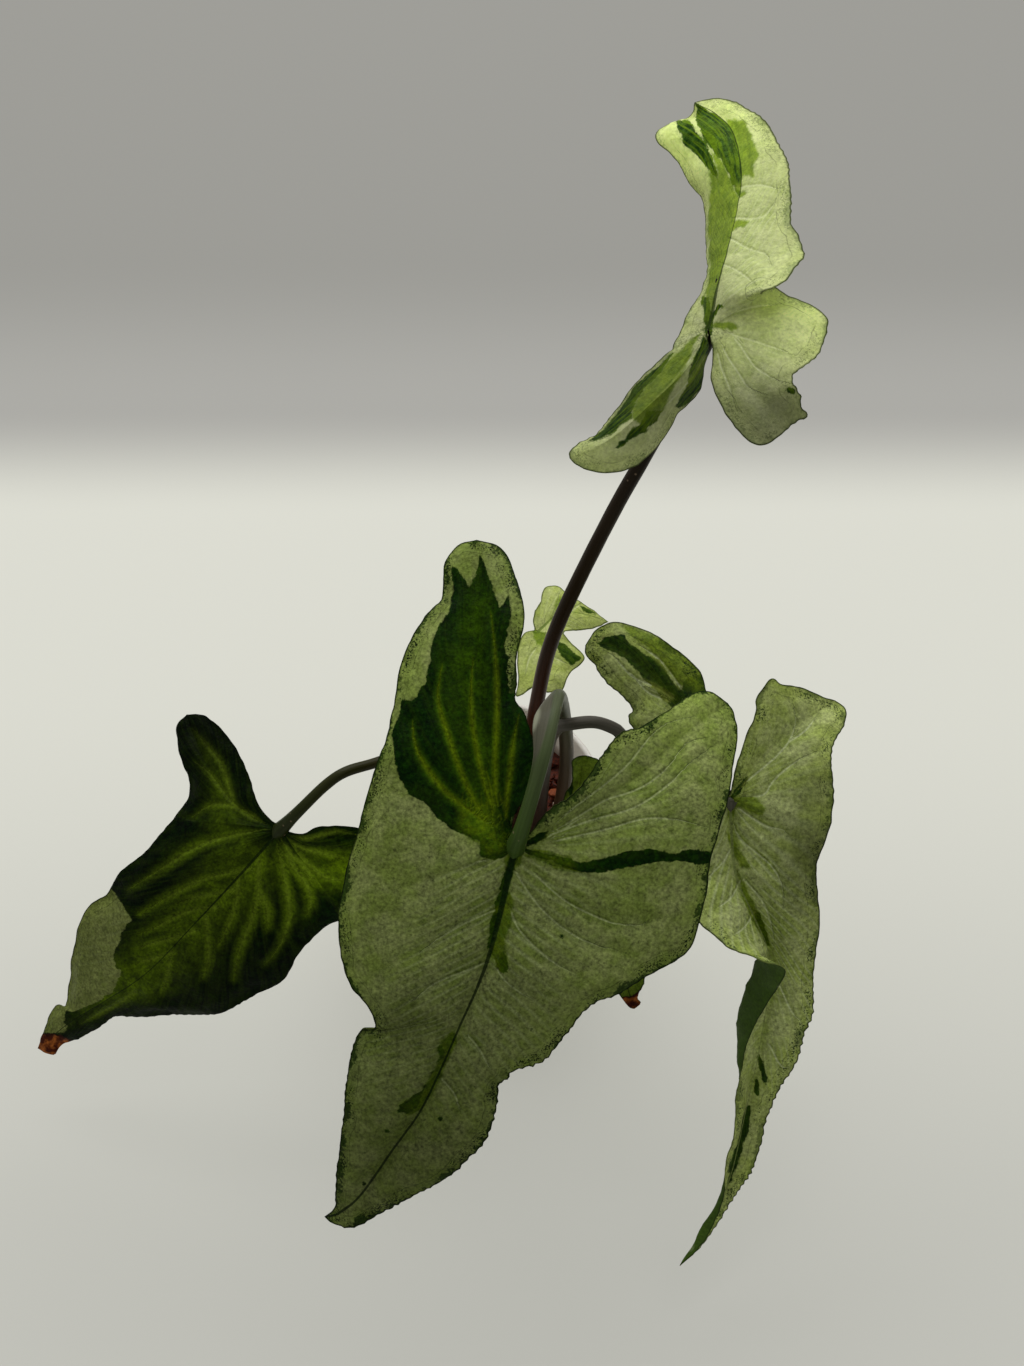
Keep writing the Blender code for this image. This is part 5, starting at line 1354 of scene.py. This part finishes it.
def pot_profile():
    """The pot's section from the middle of its floor, up the inside, over the lip and down the outside."""
    inner_floor = wall_radius(POT_FLOOR) - POT_WALL
    inner_top = POT_TOP_RADIUS - POT_WALL
    lip_foot = POT_HEIGHT - LIP_HEIGHT
    section = [(0.0, POT_FLOOR), (inner_floor - FLOOR_ROUND, POT_FLOOR)]
    for i in range(5):
        turn = math.pi / 2 * i / 4
        section.append((inner_floor - FLOOR_ROUND + FLOOR_ROUND * math.sin(turn),
                        POT_FLOOR + FLOOR_ROUND - FLOOR_ROUND * math.cos(turn)))
    for i in range(1, 8):
        z = POT_FLOOR + FLOOR_ROUND + (POT_HEIGHT - 4.0 - POT_FLOOR - FLOOR_ROUND) * i / 8
        section.append((wall_radius(z) - POT_WALL, z))
    section.append((inner_top - 0.5, POT_HEIGHT - 3.2))
    section.append((inner_top, POT_HEIGHT - 1.6))
    middle = (inner_top + LIP_RADIUS) / 2
    half = (LIP_RADIUS - inner_top) / 2
    for i in range(9):
        turn = math.pi * i / 8
        section.append((middle - half * math.cos(turn), POT_HEIGHT - half + half * math.sin(turn)))
    section.append((LIP_RADIUS, lip_foot + 0.4))
    section.append((LIP_RADIUS - 0.3, lip_foot))
    section.append((wall_radius(lip_foot) + 0.1, lip_foot - 0.3))
    for i in range(1, 10):
        z = lip_foot - 0.6 - (lip_foot - 0.6 - 3.0) * i / 9
        section.append((wall_radius(z), z))
    section += [(wall_radius(1.4), 1.4), (POT_BASE_RADIUS - 0.2, 0.5), (POT_BASE_RADIUS - 1.0, 0.0),
                (POT_BASE_RADIUS - 2.4, 0.0), (POT_BASE_RADIUS - 3.0, FOOT_RAISE), (0.0, FOOT_RAISE)]
    return section


def drain_cutter(i):
    """A rod through the pot's floor where a drainage hole goes."""
    turn = math.tau * (i + 0.5) / DRAIN_COUNT
    bm = bmesh.new()
    bmesh.ops.create_cone(bm, cap_ends=True, segments=40, radius1=DRAIN_RADIUS * MM,
                          radius2=DRAIN_RADIUS * MM, depth=8 * MM)
    cutter = new_object(f"drain_{i}", mesh_from(bm, f"drain_{i}"))
    cutter.location = (DRAIN_RING * math.cos(turn) * MM, DRAIN_RING * math.sin(turn) * MM, 0)
    return cutter


def turned_pot():
    """The pot's shell as a mesh, turned from its section."""
    bm = bmesh.new()
    rings = []
    for r, z in pot_profile():
        if r == 0:
            rings.append([bm.verts.new((0, 0, z * MM))] * POT_TURNS)
            continue
        ring = []
        for s in range(POT_TURNS):
            a = math.tau * s / POT_TURNS
            ring.append(bm.verts.new((r * math.cos(a) * MM, r * math.sin(a) * MM, z * MM)))
        rings.append(ring)
    for lower, upper in zip(rings, rings[1:]):
        for s in range(POT_TURNS):
            n = (s + 1) % POT_TURNS
            corners = []
            for v in (lower[s], lower[n], upper[n], upper[s]):
                if v not in corners:
                    corners.append(v)
            bm.faces.new(corners)
    bmesh.ops.recalc_face_normals(bm, faces=bm.faces)
    return mesh_from(bm, "pot_shell")


def make_pot():
    """The pot, with drainage holes cut in its floor."""
    mesh = turned_pot()
    mesh.shade_smooth()
    mesh.materials.append(pot_material())
    pot = new_object("pot_shell", mesh)
    cutters = [drain_cutter(i) for i in range(DRAIN_COUNT)]
    for cutter in cutters:
        cut = pot.modifiers.new(cutter.name, "BOOLEAN")
        cut.operation = "DIFFERENCE"
        cut.object = cutter
    apply_modifiers(pot)
    for cutter in cutters:
        bpy.data.objects.remove(cutter)
    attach(pot, "root")
    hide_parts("pot")


def apply_modifiers(ob):
    graph = bpy.context.evaluated_depsgraph_get()
    mesh = bpy.data.meshes.new_from_object(ob.evaluated_get(graph))
    ob.modifiers.clear()
    ob.data = mesh


def pot_material():
    """Thin frosted plastic. The damp mix shows darker through the wall below its level."""
    k = Looks("pot_plastic")
    level = k.axis("Z") + k.noise(6, 3) * 5.0
    damp = k.mix(k.step(k.noise(3.5, 4, 0.65), 0.4, 0.65), (176, 164, 152), (150, 128, 116))
    scuffs = k.step(k.noise(1.2, 4, 0.7), 0.6, 0.75)
    colour = k.over(k.mix(k.step(level, MIX_TOP + 4, MIX_TOP - 1), (236, 232, 225), damp),
                    (scuffs, 0.15, (240, 238, 232)))
    normal = k.bump(k.noise(0.8, 3), 0.05)
    face = k.put("ShaderNodeBsdfPrincipled", {}, {"Base Color": colour, "Normal": normal,
                                                  "Roughness": scuffs * 0.15 + 0.32})
    return k.finish_lit(face, 0.35, {"Color": colour})


CHIP_COUNT = 430
PEBBLE_COUNT = 46
MIX_SEED = 11
MIX_CLEARANCE = 0.4
MIX_BODY_TOP = MIX_TOP - 2

# The half sizes of a piece of the mix along its three axes, and its tone, as (least, most).
CHIP_SIZES = ((1.6, 4.6), (1.2, 2.8), (0.7, 1.6))
CHIP_TONES = (0.0, 0.55)
PEBBLE_SIZES = ((0.9, 1.7), (0.8, 1.3), (0.7, 1.1))
PEBBLE_TONES = (0.8, 1.0)
BODY_TONE = 0.1


def chip(bm, draw, at, size, turn, sharp):
    """One rough piece: a small ball pushed into facets, then sized and turned."""
    made = bmesh.ops.create_icosphere(bm, subdivisions=2, radius=1.0)["verts"]
    cuts = []
    for _ in range(sharp):
        way = Vector((draw.gauss(0, 1), draw.gauss(0, 1), draw.gauss(0, 1))).normalized()
        cuts.append((way, draw.uniform(0.45, 0.8)))
    shift = Vector((draw.uniform(0, 90), draw.uniform(0, 90), 0))
    for v in made:
        p = v.co.copy()
        for way, reach in cuts:
            over = p.dot(way) - reach
            if over > 0:
                p -= way * over
        p *= 1 + 0.12 * noise.noise(p * 2.2 + shift)
        p = Vector((p.x * size[0], p.y * size[1], p.z * size[2]))
        p.rotate(turn)
        v.co = (p + at) * MM
    return {f for v in made for f in v.link_faces}


def mix_body(bm, tone, side):
    """The dark tapered body under the chips, side away from the pot's outer face."""
    low = POT_FLOOR + 0.3
    body = bmesh.ops.create_cone(bm, cap_ends=True, segments=64, radius1=(wall_radius(low) - side) * MM,
                                 radius2=(wall_radius(MIX_BODY_TOP) - side) * MM,
                                 depth=(MIX_BODY_TOP - low) * MM)["verts"]
    for v in body:
        v.co.z += (low + (MIX_BODY_TOP - low) / 2) * MM
    for f in bm.faces:
        f[tone] = BODY_TONE


def make_mix():
    """The potting mix: a dark body with bark chips and pale grit heaped on it."""
    draw = random.Random(MIX_SEED)
    bm = bmesh.new()
    tone = bm.faces.layers.float.new("tone")
    side = POT_WALL + MIX_CLEARANCE
    mix_body(bm, tone, side)
    reach = wall_radius(MIX_TOP) - side
    golden = math.pi * (3 - math.sqrt(5))
    count = CHIP_COUNT + PEBBLE_COUNT
    for i in range(count):
        pebble = i % (count // PEBBLE_COUNT) == 3
        size = [draw.uniform(*span) for span in CHIP_SIZES]
        if pebble:
            size = [draw.uniform(*span) for span in PEBBLE_SIZES]
        radius = math.sqrt((i + 0.5) / count) * (reach - size[0])
        angle = i * golden + draw.uniform(-0.3, 0.3)
        z = MIX_TOP - 1.2 + draw.uniform(-1.0, 1.3) + (0.8 if pebble else 0)
        at = Vector((radius * math.cos(angle), radius * math.sin(angle), z))
        turn = Matrix.Rotation(draw.uniform(0, math.tau), 3, "Z")
        tilt = Matrix.Rotation(draw.uniform(-0.6, 0.6), 3, "X")
        made = chip(bm, draw, at, size, turn @ tilt, 0 if pebble else 7)
        tint = draw.uniform(*(PEBBLE_TONES if pebble else CHIP_TONES))
        for f in made:
            f[tone] = tint
            f.smooth = pebble
    mesh = mesh_from(bm, "bark_mix")
    mesh.materials.append(mix_material())
    mix = new_object("bark_mix", mesh)
    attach(mix, "root")
    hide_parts("potting_mix")


def mix_material():
    """Damp red-brown bark, some of it orange, and pale grit, told apart by each piece's tone."""
    k = Looks("bark")
    tone = k.value("tone")
    fibre = k.noise(0.9, 4, 0.65)
    bark = k.mix(k.step(fibre, 0.35, 0.7), (40, 13, 5), (94, 36, 14))
    warm = k.mix(fibre, (104, 44, 20), (164, 88, 44))
    colour = k.mix(k.step(tone, 0.45, 0.52), bark, warm)
    grit = k.mix(k.noise(1.4, 3), (196, 164, 140), (226, 204, 184))
    colour = k.mix(k.step(tone, 0.7, 0.75), colour, grit)
    face = k.put("ShaderNodeBsdfPrincipled", {}, {"Base Color": colour, "Roughness": fibre * 0.3 + 0.45,
                                                  "Normal": k.bump(fibre, 0.25), "Specular IOR Level": 0.15})
    return k.finish(face.outputs[0])


# Studio

# Light panels: name, place, target, size, power.
LIGHTS = (
    ("back_panel", (-0.1, 1.25, 1.5), (0.0, 0.05, 0.05), (2.4, 1.4), 33.0),
    ("top_panel", (0.1, 0.1, 1.7), (0.0, -0.05, 0.1), (1.6, 1.6), 2.5),
)
SKY = (1.0, 1.0, 0.98, 1.0)
SKY_STRENGTH = 0.4
FLOOR_REACH = 4.0
# The floor glows with this share of its colour: painted light that softens the plant's shadows on it.
FLOOR_GLOW = 0.5


def make_stage():
    """A plain pale floor with painted shade, darker at the front and a softer grey behind the plant, and a
    faint glow of painted light.
    """
    mesh = bpy.data.meshes.new("studio_floor")
    far = FLOOR_REACH
    mesh.from_pydata([(-far, -far, 0), (far, -far, 0), (far, far, 0), (-far, far, 0)], [], [(0, 1, 2, 3)])
    k = Looks("studio_paper")
    back = k.axis("Y")
    # Painted shade: darker towards the front and greyer far behind, where the light falls off.
    near = k.mix(k.step(back, -160.0, 90.0), (199, 199, 191), (219, 219, 209))
    distant = k.mix(k.step(back, 235.0, 330.0), (170, 169, 164), (153, 152, 147))
    colour = k.mix(k.step(back, 176.0, 236.0), near, distant)
    face = k.put("ShaderNodeBsdfPrincipled", {}, {
        "Base Color": k.scaled(colour, 1 - FLOOR_GLOW), "Roughness": 0.9, "Specular IOR Level": 0.0,
        "Emission Color": colour, "Emission Strength": FLOOR_GLOW})
    mesh.materials.append(k.finish(face.outputs[0]))
    floor = new_object("studio_floor", mesh)


def make_studio():
    world = bpy.data.worlds.new("studio")
    world.use_nodes = True
    background = world.node_tree.nodes["Background"]
    background.inputs["Color"].default_value = SKY
    background.inputs["Strength"].default_value = SKY_STRENGTH
    bpy.context.scene.world = world
    for name, at, target, size, power in LIGHTS:
        light = bpy.data.lights.new(name, "AREA")
        light.shape = "RECTANGLE"
        light.size, light.size_y = size
        light.energy = power
        ob = new_object(name, light)
        ob.visible_camera = False
        ob.location = at
        ob.rotation_euler = (Vector(target) - Vector(at)).to_track_quat("-Z", "Y").to_euler()
    bpy.context.scene.view_settings.view_transform = "Standard"
    bpy.context.scene.view_settings.look = "None"


def make_camera():
    """The photo's viewpoint: its frame is taller than wide, so the sensor's long side is its height."""
    data = bpy.data.cameras.new("camera")
    data.sensor_width = SENSOR
    data.lens = LENS
    camera = new_object("camera", data)
    camera.location = EYE * MM
    camera.rotation_euler = (math.pi / 2 - SIGHT_PITCH, 0.0, 0.0)
    bpy.context.scene.camera = camera


# How fine the grids of the small blades are against those of the others.
SCALES = {"leaf_young": 0.5, "leaf_low": 0.55}


def main():
    make_camera()
    make_stage()
    make_studio()
    for name, spec in BLADES.items():
        look = LOOKS[name]
        faces = (upper_face(name, look), lower_face(name, look), rim_face(name, look))
        make_blade(name, spec, SCALES.get(name, 1.0), faces)
    for name, (foot, top, route) in STALKS.items():
        make_stalk(name, foot, top, route, name.replace("stalk", "leaf"))
    make_pot()
    make_mix()
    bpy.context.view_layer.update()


main()
